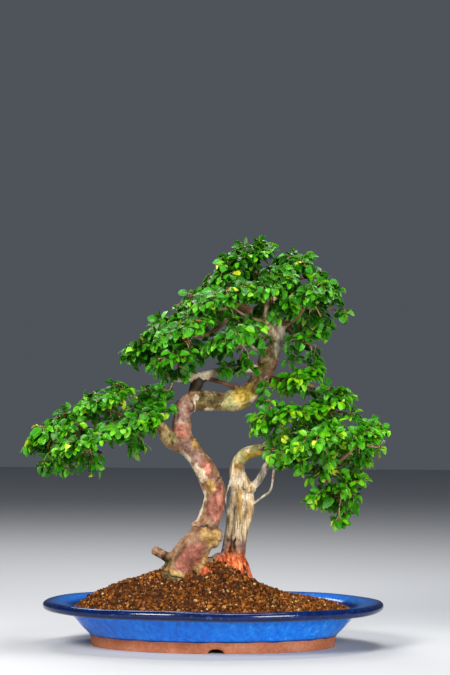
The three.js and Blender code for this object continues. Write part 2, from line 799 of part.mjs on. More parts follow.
const box = new THREE.Box3().setFromObject(bonsai, true);
const middle = box.getCenter(new THREE.Vector3());
bonsai.position.set(-middle.x, -middle.y, -box.min.z);

export default bonsai;
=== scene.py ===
"""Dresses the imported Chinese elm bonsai: glazed pot, grainy soil, barked wood and leafy sprays.

Lengths are in metres in Blender. Places on the tree are written in millimetres in the tree's own
frame, which has the middle of the pot's foot at its origin; place() and to_scene() bring them to the
scene.
"""
import itertools
import math

import bpy
import numpy as np
from mathutils import Matrix, Vector, noise


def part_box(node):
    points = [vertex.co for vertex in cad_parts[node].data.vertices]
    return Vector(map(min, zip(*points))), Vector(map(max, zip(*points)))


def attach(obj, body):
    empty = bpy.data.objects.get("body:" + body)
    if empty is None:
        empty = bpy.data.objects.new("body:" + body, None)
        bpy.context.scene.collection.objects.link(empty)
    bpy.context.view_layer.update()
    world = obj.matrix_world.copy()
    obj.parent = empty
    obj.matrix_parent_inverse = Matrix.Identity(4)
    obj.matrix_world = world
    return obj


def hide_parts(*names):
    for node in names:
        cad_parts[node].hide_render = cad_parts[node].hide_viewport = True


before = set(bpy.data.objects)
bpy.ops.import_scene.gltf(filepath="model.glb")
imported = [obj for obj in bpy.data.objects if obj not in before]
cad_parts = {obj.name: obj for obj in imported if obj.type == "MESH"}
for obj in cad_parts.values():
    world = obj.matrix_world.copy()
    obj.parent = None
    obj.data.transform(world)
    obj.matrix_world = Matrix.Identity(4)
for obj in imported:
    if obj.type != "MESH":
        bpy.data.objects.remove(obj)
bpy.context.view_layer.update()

MM = 0.001
SEED = 11

# Pot
LIP_HALF_LENGTH = 225.0
LIP_HALF_DEPTH = 166.0
OVAL_DIFFERENCE = LIP_HALF_LENGTH - LIP_HALF_DEPTH
FLOOR_CORNER = 146.0
FLOOR_TOP = 14.0
GLAZE_LINE = 14.0
FOOT_HALF_LENGTH = 160
DRAIN_X = 70
DRAIN_HALF = (8, 8, 12)
NOTCH_HALF = (10.5, 6, 30)
POT_AROUND = 176

# Soil
SOIL_EDGE = 188.0
SOIL_EDGE_HEIGHT = 52.5
RIDGE_Y = 10.0
RIM_DROP = 5.0
FINE_GRAINS = 7000
COARSE_GRAINS = 2600
GRAINS_REACH = 0.975
PALE_GRAIN_SHARE = 0.035

# Wood
WOOD_VOXEL_MM = 1.2
TIP_RADIUS = 1.3
TUBE_END = 0.6  # how far a tube's end point stands out, as a share of its radius

# Foliage
LEAF_MM = 14.2
TWIGS_PER_SPRAY = 38
TUFT_TWIGS = 34
LEAVES_PER_TWIG = 7

POT_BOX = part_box("pot")
POT_MIDDLE = Vector(((POT_BOX[0][0] + POT_BOX[1][0]) / 2, (POT_BOX[0][1] + POT_BOX[1][1]) / 2, 0.0))


def place(x, y, z):
    """A place on the tree, in millimetres, as a point of the scene."""
    return Vector((x * MM, y * MM, z * MM)) + POT_MIDDLE


def to_scene(points):
    """Rows of places on the tree as rows of points of the scene."""
    return np.asarray(points) * MM + np.array(POT_MIDDLE)


def clamp(value):
    return min(1.0, max(0.0, value))


def smoothstep(t):
    t = clamp(t)
    return t * t * (3 - 2 * t)


def lerp(a, b, t):
    return a + (b - a) * t


# Meshes


def new_object(name, data):
    made = bpy.data.objects.new(name, data)
    bpy.context.scene.collection.objects.link(made)
    return made


def read_rows(items, field, width, kind=float):
    """A field of a mesh's points or edges, one row for each."""
    values = np.empty(len(items) * width, dtype=kind)
    items.foreach_get(field, values)
    return values.reshape(-1, width)


def mesh_object(name, points, triangles, smooth=True):
    """An object from arrays of points in metres and of triangles."""
    mesh = bpy.data.meshes.new(name)
    points = np.asarray(points, dtype=np.float32)
    triangles = np.asarray(triangles, dtype=np.int32)
    mesh.vertices.add(len(points))
    mesh.vertices.foreach_set("co", points.ravel())
    mesh.loops.add(triangles.size)
    mesh.loops.foreach_set("vertex_index", triangles.ravel())
    mesh.polygons.add(len(triangles))
    mesh.polygons.foreach_set("loop_start", np.arange(0, triangles.size, 3, dtype=np.int32))
    mesh.update(calc_edges=True)
    mesh.polygons.foreach_set("use_smooth", np.full(len(triangles), smooth))
    mesh.validate()
    return new_object(name, mesh)


def set_values(piece, name, values):
    """A number on each point of a mesh, which its material reads by name."""
    layer = piece.data.attributes.new(name, "FLOAT", "POINT")
    layer.data.foreach_set("value", np.asarray(values, dtype=np.float32))


def apply_modifiers(piece):
    bpy.ops.object.select_all(action="DESELECT")
    piece.select_set(True)
    bpy.context.view_layer.objects.active = piece
    for modifier in list(piece.modifiers):
        bpy.ops.object.modifier_apply(modifier=modifier.name)


def closed_rings(rings, around):
    """Triangles between closed rings of points, then to the two points after them that close the ends."""
    made = []
    for r in range(rings - 1):
        for k in range(around):
            a = r * around + k
            b = r * around + (k + 1) % around
            made += [(a, b, b + around), (a, b + around, a + around)]
    tip = rings * around
    last = tip - around
    for k in range(around):
        follow = (k + 1) % around
        made += [(tip, follow, k), (tip + 1, last + k, last + follow)]
    return made


def spline(points, per_span):
    """Points on a smooth curve through the given ones; every coordinate is carried along."""
    points = list(np.array(points, dtype=float))
    padded = [2 * points[0] - points[1]] + points + [2 * points[-1] - points[-2]]
    made = []
    for i in range(1, len(padded) - 2):
        p0, p1, p2, p3 = padded[i - 1 : i + 3]
        for step in range(per_span):
            t = step / per_span
            twice = 2 * p1 + (p2 - p0) * t
            twice += (2 * p0 - 5 * p1 + 4 * p2 - p3) * t * t
            twice += (3 * p1 - p0 - 3 * p2 + p3) * t**3
            made.append(0.5 * twice)
    made.append(points[-1])
    return np.array(made)


def tube_arrays(route, sides):
    """A closed tube along rows of x, y, z and radius."""
    centres = route[:, :3]
    tangents = np.gradient(centres, axis=0)
    tangents /= np.linalg.norm(tangents, axis=1)[:, None] + 1e-9
    side = np.cross(tangents[0], (0.31, -0.9, 0.2))
    points = []
    for i, centre in enumerate(centres):
        side = side - tangents[i] * side.dot(tangents[i])
        side /= np.linalg.norm(side) + 1e-9
        up = np.cross(tangents[i], side)
        for k in range(sides):
            angle = 2 * math.pi * k / sides
            points.append(centre + route[i, 3] * (side * math.cos(angle) + up * math.sin(angle)))
    points += [centres[0], centres[-1] + tangents[-1] * route[-1, 3] * TUBE_END]
    return np.array(points), np.array(closed_rings(len(centres), sides))


class Heap:
    """Gathers many small meshes, with their named values, into one."""

    def __init__(self):
        self.points = []
        self.triangles = []
        self.values = {}
        self.count = 0

    def add(self, points, triangles, **values):
        self.points.append(points)
        self.triangles.append(np.asarray(triangles) + self.count)
        for name, value in values.items():
            spread = np.broadcast_to(np.asarray(value, dtype=float), (len(points),))
            self.values.setdefault(name, []).append(spread)
        self.count += len(points)

    def piece(self, name, smooth=True):
        """One object of the whole heap, at its place on the tree, with its values."""
        points = to_scene(np.concatenate(self.points))
        made = mesh_object(name, points, np.concatenate(self.triangles), smooth)
        for key, values in self.values.items():
            set_values(made, key, np.concatenate(values))
        return made


# Materials


class Paint:
    """Builds one node material; each call adds a node and gives back its output."""

    def __init__(self, name):
        self.material = bpy.data.materials.new(name)
        self.material.use_nodes = True
        self.tree = self.material.node_tree
        self.shader = self.tree.nodes["Principled BSDF"]

    def link(self, source, target):
        """Joins an output to an input, or gives the input a plain value."""
        if isinstance(source, bpy.types.NodeSocket):
            self.tree.links.new(source, target)
        elif isinstance(source, tuple) and target.type == "RGBA":
            target.default_value = (*source, 1)
        else:
            target.default_value = source

    def node(self, kind, inputs, **settings):
        made = self.tree.nodes.new(kind)
        for key, value in settings.items():
            setattr(made, key, value)
        for key, value in inputs.items():
            self.link(value, made.inputs[key])
        return made

    def position(self):
        return self.node("ShaderNodeTexCoord", {}).outputs["Object"]

    def scaled(self, vector, scale):
        return self.node("ShaderNodeMapping", {"Vector": vector, "Scale": scale}).outputs["Vector"]

    def noise(self, vector, scale, detail=4.0, roughness=0.55):
        inputs = {"Vector": vector, "Scale": scale, "Detail": detail, "Roughness": roughness}
        return self.node("ShaderNodeTexNoise", inputs).outputs["Fac"]

    def value_of(self, name):
        return self.node("ShaderNodeAttribute", {}, attribute_name=name).outputs["Fac"]

    def math(self, operation, a, b=0.0):
        return self.node("ShaderNodeMath", {0: a, 1: b}, operation=operation).outputs[0]

    def plus(self, a, b):
        return self.math("ADD", a, b)

    def minus(self, a, b):
        return self.math("SUBTRACT", a, b)

    def times(self, a, b):
        return self.math("MULTIPLY", a, b)

    def between(self, value, low, high):
        """0 below low, 1 above high."""
        inputs = {"Value": value, "From Min": low, "From Max": high}
        return self.node("ShaderNodeMapRange", inputs, clamp=True).outputs["Result"]

    def ramp(self, value, stops):
        """A run of colours; each stop is its place on the run, then red, green and blue."""
        made = self.node("ShaderNodeValToRGB", {"Fac": value})
        elements = made.color_ramp.elements
        while len(elements) < len(stops):
            elements.new(0.5)
        for element, (at, *colour) in zip(elements, stops):
            element.position = at
            element.color = (*colour, 1)
        return made.outputs["Color"]

    def mix(self, share, a, b):
        return self.node("ShaderNodeMix", {0: share, 6: a, 7: b}, data_type="RGBA").outputs[2]

    def bump(self, height, distance, strength=1.0, under=None):
        inputs = {"Distance": distance, "Strength": strength, "Height": height}
        if under is not None:
            inputs["Normal"] = under
        return self.node("ShaderNodeBump", inputs).outputs["Normal"]

    def finish(self, colour, roughness, normal=None, specular=0.5, **others):
        """Gives the shader its inputs; the others are named as the shader names them."""
        inputs = {"Base Color": colour, "Roughness": roughness, "Specular IOR Level": specular}
        inputs.update({name.replace("_", " "): value for name, value in others.items()})
        if normal is not None:
            inputs["Normal"] = normal
        for name, value in inputs.items():
            self.link(value, self.shader.inputs[name])
        return self.material


def glaze_material():
    """Cobalt glaze: bright and streaked on the body, navy where the value navy is high: pooled glaze at the
    glaze line, and painted shade on the lip.
    """
    paint = Paint("cobalt glaze")
    where = paint.position()
    streak = paint.noise(paint.scaled(where, (1, 1, 0.3)), 150, 5, 0.65)
    cloud = paint.noise(where, 9, 3)
    shade = paint.plus(paint.times(streak, 0.7), paint.times(cloud, 0.3))
    body = paint.ramp(
        shade,
        [
            (0.36, 0.004, 0.13, 0.68), (0.5, 0.004, 0.215, 0.94), (0.6, 0.012, 0.28, 0.98),
            (0.72, 0.17, 0.48, 0.98),
        ],
    )
    lip = paint.ramp(
        shade,
        [(0.3, 0.001, 0.004, 0.024), (0.6, 0.001, 0.01, 0.07), (0.85, 0.004, 0.04, 0.27)],
    )
    uneven = paint.times(paint.minus(cloud, 0.5), 0.5)
    # navy brings in the dark lip colour: pooled glaze at the glaze line, and painted shade on the lip
    navy = paint.plus(paint.value_of("navy"), uneven)
    colour = paint.mix(paint.between(navy, 0.1, 0.9), body, lip)
    worn = paint.between(paint.noise(where, 240, 2), 0.62, 0.75)
    colour = paint.mix(paint.times(worn, 0.1), colour, (0.35, 0.45, 0.7))
    waves = paint.bump(cloud, 0.0016, 0.5)
    pits = paint.bump(paint.noise(where, 420, 2), 0.0002, 0.3, waves)
    roughness = paint.plus(0.06, paint.times(streak, 0.14))
    return paint.finish(colour, roughness, pits, 0.32, Coat_Weight=0.08, Coat_Roughness=0.04)


def clay_material():
    paint = Paint("bare clay")
    where = paint.position()
    grain = paint.noise(where, 300, 5, 0.7)
    cloud = paint.noise(where, 24, 3)
    colour = paint.ramp(
        paint.plus(paint.times(grain, 0.5), paint.times(cloud, 0.5)),
        [(0.3, 0.22, 0.062, 0.026), (0.5, 0.42, 0.14, 0.066), (0.7, 0.58, 0.26, 0.15)],
    )
    return paint.finish(colour, 0.85, paint.bump(grain, 0.0005, 0.6), 0.25)


def soil_material():
    paint = Paint("potting soil")
    where = paint.position()
    crumb = paint.noise(where, 260, 6, 0.7)
    colour = paint.ramp(
        crumb, [(0.3, 0.012, 0.004, 0.001), (0.55, 0.05, 0.016, 0.005), (0.75, 0.11, 0.042, 0.014)]
    )
    return paint.finish(colour, 0.95, paint.bump(crumb, 0.0015), 0.2)


def grain_material():
    paint = Paint("soil grains")
    where = paint.position()
    tone = paint.value_of("tone")
    colour = paint.ramp(
        tone,
        [
            (0.0, 0.014, 0.005, 0.001), (0.3, 0.076, 0.022, 0.004), (0.55, 0.22, 0.066, 0.009),
            (0.78, 0.43, 0.155, 0.025), (0.92, 0.53, 0.25, 0.065), (0.99, 0.68, 0.46, 0.2),
        ],
    )
    fleck = paint.noise(where, 900, 3)
    colour = paint.mix(paint.times(fleck, 0.55), colour, (0.03, 0.01, 0.003))
    damp = paint.between(paint.noise(where, 42, 4, 0.65), 0.47, 0.64)
    colour = paint.mix(paint.times(damp, 0.5), colour, (0.016, 0.005, 0.002))
    return paint.finish(colour, 0.9, paint.bump(fleck, 0.0004), 0.1)


# Coats of bark, from the lowest up; each runs from dark to light with the mottle or the flow of the bark
COATS = {
    "umber": [(0.4, 0.055, 0.02, 0.008), (0.5, 0.13, 0.054, 0.023), (0.6, 0.23, 0.115, 0.058)],
    "mauve": [(0.4, 0.1, 0.047, 0.031), (0.5, 0.215, 0.118, 0.086), (0.6, 0.36, 0.235, 0.18)],
    "red": [(0.38, 0.112, 0.031, 0.017), (0.5, 0.208, 0.063, 0.037), (0.62, 0.34, 0.135, 0.088)],
    "coral": [(0.38, 0.23, 0.066, 0.034), (0.5, 0.4, 0.145, 0.09), (0.62, 0.6, 0.28, 0.19)],
    "moss": [(0.4, 0.03, 0.02, 0.003), (0.49, 0.105, 0.075, 0.012), (0.6, 0.3, 0.225, 0.12)],
    "olive": [(0.38, 0.105, 0.085, 0.014), (0.5, 0.25, 0.225, 0.07), (0.62, 0.42, 0.39, 0.22)],
    "grey": [(0.38, 0.09, 0.082, 0.055), (0.5, 0.2, 0.18, 0.14), (0.62, 0.34, 0.315, 0.27)],
    "pale": [(0.36, 0.19, 0.115, 0.04), (0.49, 0.42, 0.3, 0.155), (0.62, 0.6, 0.5, 0.35)],
    "orange": [(0.36, 0.15, 0.018, 0.003), (0.5, 0.48, 0.085, 0.02), (0.64, 0.74, 0.25, 0.095)],
    "yellow": [(0.4, 0.17, 0.11, 0.012), (0.5, 0.38, 0.255, 0.026), (0.6, 0.52, 0.4, 0.12)],
    "ochre": [(0.4, 0.14, 0.07, 0.014), (0.5, 0.31, 0.18, 0.05), (0.6, 0.48, 0.33, 0.135)],
    "cream": [(0.38, 0.33, 0.24, 0.13), (0.5, 0.5, 0.41, 0.28), (0.62, 0.68, 0.61, 0.48)],
}
FLOWING_COATS = ("pale", "orange", "grey")
BARE_BARK = [(0.36, 0.1, 0.046, 0.022), (0.5, 0.22, 0.115, 0.06), (0.64, 0.38, 0.24, 0.14)]


def bark_material():
    """Elm bark in ragged coats; the values on the points say where each coat lies."""
    paint = Paint("elm bark")
    where = paint.position()
    fine = paint.noise(where, 520, 6, 0.7)
    patch = paint.noise(where, 40, 3, 0.55)
    flake = paint.noise(where, 120, 5, 0.62)
    flow = paint.noise(paint.scaled(where, (1, 1, 0.2)), 210, 4, 0.6)
    mottle = paint.plus(paint.times(patch, 0.4), paint.times(flake, 0.6))
    colour = paint.ramp(mottle, BARE_BARK)
    ragged = paint.plus(paint.times(flake, 0.8), paint.times(fine, 0.3))
    for name, stops in COATS.items():
        coat = paint.ramp(flow if name in FLOWING_COATS else mottle, stops)
        amount = paint.plus(paint.value_of(name), ragged)
        colour = paint.mix(paint.between(amount, 0.88, 1.22), colour, coat)
    speck = paint.between(paint.noise(where, 300, 3), 0.58, 0.7)
    colour = paint.mix(paint.times(speck, 0.16), colour, (0.52, 0.38, 0.24))
    pit = paint.between(paint.noise(where, 380, 3), 0.56, 0.7)
    colour = paint.mix(paint.times(pit, 0.6), colour, (0.05, 0.022, 0.008))
    # The value dark brings painted shade into the cracks and the gaps between strands, with other dark
    # marks
    dark = paint.plus(paint.value_of("dark"), paint.times(flake, 0.5))
    colour = paint.mix(paint.between(dark, 0.55, 1.15), colour, (0.022, 0.013, 0.004))
    lumps = paint.bump(flake, 0.0018, 0.7)
    ridges = paint.bump(flow, 0.0009, 0.7, lumps)
    normal = paint.bump(fine, 0.0006, 0.7, ridges)
    roughness = paint.plus(0.4, paint.times(fine, 0.3))
    return paint.finish(colour, roughness, normal, 0.22)


def twig_material():
    paint = Paint("twig bark")
    where = paint.position()
    flow = paint.noise(where, 500, 4)
    colour = paint.ramp(
        flow, [(0.35, 0.11, 0.045, 0.018), (0.52, 0.32, 0.155, 0.065), (0.7, 0.55, 0.36, 0.2)]
    )
    return paint.finish(colour, 0.7, paint.bump(flow, 0.0003))


def leaf_material():
    """Waxy leaves: tone runs from deep green to young yellow green and also carries painted shade and glow;
    rib and veins are lighter.
    """
    paint = Paint("elm leaf")
    where = paint.position()
    tone = paint.value_of("tone")
    along = paint.value_of("along")
    across = paint.value_of("across")
    mottle = paint.noise(where, 160, 3)
    shade = paint.plus(tone, paint.times(paint.minus(mottle, 0.5), 0.35))
    colour = paint.ramp(
        shade,
        [
            (0.0, 0.002, 0.04, 0.001), (0.35, 0.011, 0.155, 0.001), (0.65, 0.062, 0.345, 0.002),
            (0.88, 0.21, 0.51, 0.006), (1.0, 0.48, 0.56, 0.02),
        ],
    )
    rib = paint.minus(1.0, paint.between(across, 0.03, 0.11))
    slanted = paint.minus(paint.times(along, 11.0), paint.times(across, 4.0))
    wave = paint.math("ABSOLUTE", paint.minus(paint.math("FRACT", slanted), 0.5))
    veins = paint.minus(1.0, paint.between(wave, 0.02, 0.11))
    lines = paint.math("MAXIMUM", rib, paint.times(veins, 0.35))
    colour = paint.mix(paint.times(lines, 0.45), colour, (0.13, 0.36, 0.015))
    rim = paint.times(paint.between(across, 0.8, 1.0), 0.22)
    colour = paint.mix(rim, colour, (0.2, 0.42, 0.012))
    quilt = paint.bump(paint.minus(1.0, lines), 0.0005, 0.5)
    normal = paint.bump(mottle, 0.0008, 0.35, quilt)
    depth = {"Subsurface_Radius": (0.0012, 0.0024, 0.0005), "Subsurface_Scale": 1.0}
    return paint.finish(colour, 0.34, normal, 0.28, Subsurface_Weight=0.12, **depth)


GLAZE = glaze_material()
CLAY = clay_material()
SOIL = soil_material()
GRAIN = grain_material()
BARK = bark_material()
TWIG = twig_material()
LEAF = leaf_material()


def dress(piece, slot, *materials):
    for material in materials:
        piece.data.materials.append(material)
    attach(piece, "root")


# Pot


def oval_depth(radius):
    """Half the depth of the pot's oval ring whose half length is radius."""
    if radius >= FLOOR_CORNER:
        return radius - OVAL_DIFFERENCE
    return radius * (FLOOR_CORNER - OVAL_DIFFERENCE) / FLOOR_CORNER


# Radius, height and depth of colour of the pot's outside, from under the floor round to the inside; the
# depth of colour is pooled glaze at the glaze line and painted shade on the lip
POT_PROFILE = [
    [(0.4, 6.0, 0), (FLOOR_CORNER, 6.0, 0)],
    [
        (FLOOR_CORNER, 6.0, 0), (147.2, 0.5, 0), (149.0, 0.0, 0), (159.0, 0.0, 0), (160.4, 0.6, 0),
        (162.4, GLAZE_LINE, 0),
    ],
    [
        (162.4, GLAZE_LINE, 1), (163.6, 15.0, 0.9), (165.2, 17.0, 0.2), (173.0, 24.6, 0),
        (181.0, 33.6, 0), (187.6, 41.4, 0.1), (191.0, 44.6, 0.6), (198.0, 45.6, 0.9), (211.0, 45.9, 1),
        (219.5, 46.6, 1), (223.8, 49.2, 1), (225.0, 52.4, 1), (224.2, 55.8, 1), (221.0, 58.2, 0.9),
        (216.0, 58.4, 0.7), (205.0, 57.0, 0.5), (195.5, 54.9, 0.55), (192.0, 53.0, 0.7),
        (189.0, 50.0, 0.8), (184.0, 43.0, 0.6), (170.0, 31.0, 0.2), (155.0, 18.0, 0.2),
        (FLOOR_CORNER, FLOOR_TOP, 0.2),
    ],
    [(FLOOR_CORNER, FLOOR_TOP, 0), (0.4, FLOOR_TOP, 0)],
]
POT_STEPS = 3
CLAY_STRETCHES = (0, 1, 3)


def make_pot():
    rows = []
    is_clay_row = []
    for number, stretch in enumerate(POT_PROFILE):
        made = spline(stretch, POT_STEPS)
        made = made if number == 0 else made[1:]
        is_clay_row += [number in CLAY_STRETCHES] * len(made)
        rows += list(made)
    angles = np.arange(POT_AROUND) * 2 * math.pi / POT_AROUND
    points = []
    navy = []
    for radius, height, depth in rows:
        navy += [clamp(depth)] * POT_AROUND
        sway = smoothstep((height - 30) / 15) * smoothstep((radius - 185) / 30)
        wobble = 0.45 * np.sin(3 * angles + 0.6) + 0.4 * np.sin(7 * angles + 2.1)
        drip = 0.35 * np.sin(19 * angles) + 0.3 * np.sin(31 * angles + 1)
        at_line = math.exp(-(((height - GLAZE_LINE) / 1.2) ** 2)) if radius > 150 else 0.0
        z = np.maximum(height, 0.0) + sway * wobble + at_line * drip
        x = radius * np.cos(angles)
        y = oval_depth(radius) * np.sin(angles)
        points.append(np.stack([x, y, z], axis=1))
    points.append([(0, 0, rows[0][1]), (0, 0, rows[-1][1])])
    triangles = closed_rings(len(rows), POT_AROUND)
    piece = mesh_object("glazed_pot", to_scene(np.vstack(points)), triangles)
    set_values(piece, "navy", navy + [0.0, 0.0])
    dress(piece, "glaze", GLAZE, CLAY)
    ends = [True, True] * POT_AROUND
    is_clay = np.concatenate([np.repeat(is_clay_row[1:], 2 * POT_AROUND), ends])
    piece.data.polygons.foreach_set("material_index", is_clay.astype(np.int32))
    for side in (-1, 1):
        cut_hole(piece, place(side * DRAIN_X, 0, 10), DRAIN_HALF, (0, 0, 0))
        notch = place(0, side * (FOOT_HALF_LENGTH - OVAL_DIFFERENCE), 0)
        cut_hole(piece, notch, NOTCH_HALF, (math.pi / 2, 0, 0))
    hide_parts("pot")


def cut_hole(piece, middle, half_sizes, turn):
    """Cuts a round or oval hole; half sizes are in millimetres, the last one along the hole."""
    bpy.ops.mesh.primitive_cylinder_add(vertices=40, radius=1, depth=2, location=middle, rotation=turn)
    cutter = bpy.context.active_object
    cutter.scale = [size * MM for size in half_sizes]
    cutter.data.materials.append(CLAY)
    modifier = piece.modifiers.new("hole", "BOOLEAN")
    modifier.operation = "DIFFERENCE"
    modifier.object = cutter
    bpy.context.view_layer.update()
    apply_modifiers(piece)
    bpy.data.objects.remove(cutter, do_unlink=True)


# Soil

MOUND_RIDGE = [
    (-188, 52), (-150, 69), (-110, 83), (-70, 95), (-36, 104), (0, 112), (20, 104), (45, 88), (65, 76),
    (100, 64), (148, 57), (188, 50),
]
# The mound dips before the cut end of the first trunk: the dip's middle, its half sizes and its depth
DIP = ((-46, -36), (31, 22), 13)


def ridge_height(x):
    for (x0, z0), (x1, z1) in zip(MOUND_RIDGE, MOUND_RIDGE[1:]):
        if x0 <= x <= x1:
            t = (x - x0) / (x1 - x0)
            return lerp(z0, z1, smoothstep(t) * 0.4 + t * 0.6)
    return SOIL_EDGE_HEIGHT


def mound_height(x, y):
    across = math.sqrt(max(0.0, 1 - (x / SOIL_EDGE) ** 2)) * oval_depth(SOIL_EDGE)
    half = across - math.copysign(RIDGE_Y, y - RIDGE_Y)
    share = min(1.0, abs(y - RIDGE_Y) / max(half, 1))
    fall = math.exp(-((share * 1.75) ** 2)) * (1 - share**4) + 0.12 * (1 - share**6)
    (dip_x, dip_y), (half_x, half_y), depth = DIP
    dip = depth * math.exp(-(((x - dip_x) / half_x) ** 2) - ((y - dip_y) / half_y) ** 2)
    outward = math.hypot(x / SOIL_EDGE, y / oval_depth(SOIL_EDGE))
    dip += RIM_DROP * smoothstep((outward - 0.78) / 0.2)
    return SOIL_EDGE_HEIGHT + (ridge_height(x) - SOIL_EDGE_HEIGHT) * min(1.0, fall) - dip


def soil_height(x, y):
    rough = noise.fractal(Vector((x, y, 3.0)) * 0.05, 0.6, 2.1, 5)
    return mound_height(x, y) + 1.6 * rough


# Radius and height of the soil's side, which stands just clear of the pot
SOIL_WALL = [(145.6, 14.4), (154.6, 18.4), (180.0, 40.0), (184.6, 45.4)]
SOIL_TOP_EDGE = 184.8
SOIL_RINGS = 46
SOIL_AROUND = 150


def make_soil():
    rings = list(SOIL_WALL)
    rings += [(SOIL_TOP_EDGE * (1 - step / SOIL_RINGS), None) for step in range(SOIL_RINGS)]
    points = []
    for radius, height in rings:
        for angle in np.arange(SOIL_AROUND) * 2 * math.pi / SOIL_AROUND:
            x = radius * math.cos(angle)
            y = oval_depth(radius) * math.sin(angle)
            points.append((x, y, soil_height(x, y) if height is None else height))
    points += [(0, 0, SOIL_WALL[0][1]), (0, 0, soil_height(0, 0))]
    triangles = closed_rings(len(SOIL_WALL) + SOIL_RINGS, SOIL_AROUND)
    piece = mesh_object("soil_mound", to_scene(points), triangles)
    dress(piece, "soil", SOIL)
    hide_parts("soil")


def hull_of(points, longest_side):
    """A small convex body: its points and the triangles between near ones, facing out."""
    triangles = []
    for i, j, k in itertools.combinations(range(len(points)), 3):
        sides = (points[i] - points[j], points[j] - points[k], points[k] - points[i])
        if max(np.linalg.norm(side) for side in sides) < longest_side:
            normal = np.cross(points[j] - points[i], points[k] - points[i])
            outward = normal.dot(points[i] + points[j] + points[k]) > 0
            triangles.append((i, j, k) if outward else (i, k, j))
    return points, np.array(triangles)


def octahedron():
    points = [sign * np.eye(3)[axis] for axis in range(3) for sign in (-1, 1)]
    return hull_of(np.array(points), 1.5)


def icosahedron():
    golden = (1 + math.sqrt(5)) / 2
    points = []
    for a in (-1, 1):
        for b in (-golden, golden):
            points += [(0, a, b), (a, b, 0), (b, 0, a)]
    return hull_of(np.array(points, dtype=float) / math.hypot(1, golden), 1.1)


def random_turn(rng):
    matrix, upper = np.linalg.qr(rng.normal(size=(3, 3)))
    matrix = matrix * np.sign(np.diag(upper))
    if np.linalg.det(matrix) < 0:
        matrix[:, 0] = -matrix[:, 0]
    return matrix


def make_grains(name, count, body, sizes, stretches, seed, right_end):
    """Grains of bark and baked clay on the mound; right_end is how far they keep to its right end."""
    ball, faces = body
    rng = np.random.default_rng(seed)
    heap = Heap()
    for _ in range(count):
        spread = math.sqrt(rng.random()) * GRAINS_REACH
        angle = rng.random() * 2 * math.pi
        if rng.random() < right_end and math.cos(angle) * spread < 0.1:
            angle = math.pi - angle
        x = SOIL_EDGE * spread * math.cos(angle)
        y = oval_depth(SOIL_EDGE) * spread * math.sin(angle)
        size = rng.uniform(*sizes)
        lumpy = ball * rng.uniform(0.78, 1.2, (len(ball), 1)) * rng.uniform(*stretches, 3) * size
        z = mound_height(x, y) + size * rng.uniform(0.0, 0.7)
        tone = clamp(rng.normal(0.46, 0.2))
        if rng.random() < PALE_GRAIN_SHARE:
            tone = rng.uniform(0.85, 1.0)
        heap.add(lumpy @ random_turn(rng).T + (x, y, z), faces, tone=tone)
    dress(heap.piece(name, smooth=False), "soil", GRAIN)


# Places of the foliage


def spray(x, y, z, limb, start=1, size=1.0, thin=1.0):
    """A spray's place, its limb, how far along that it starts, its size and its share of twigs."""
    return {"at": (x, y, z), "limb": limb, "start": start, "size": size, "thin": thin}


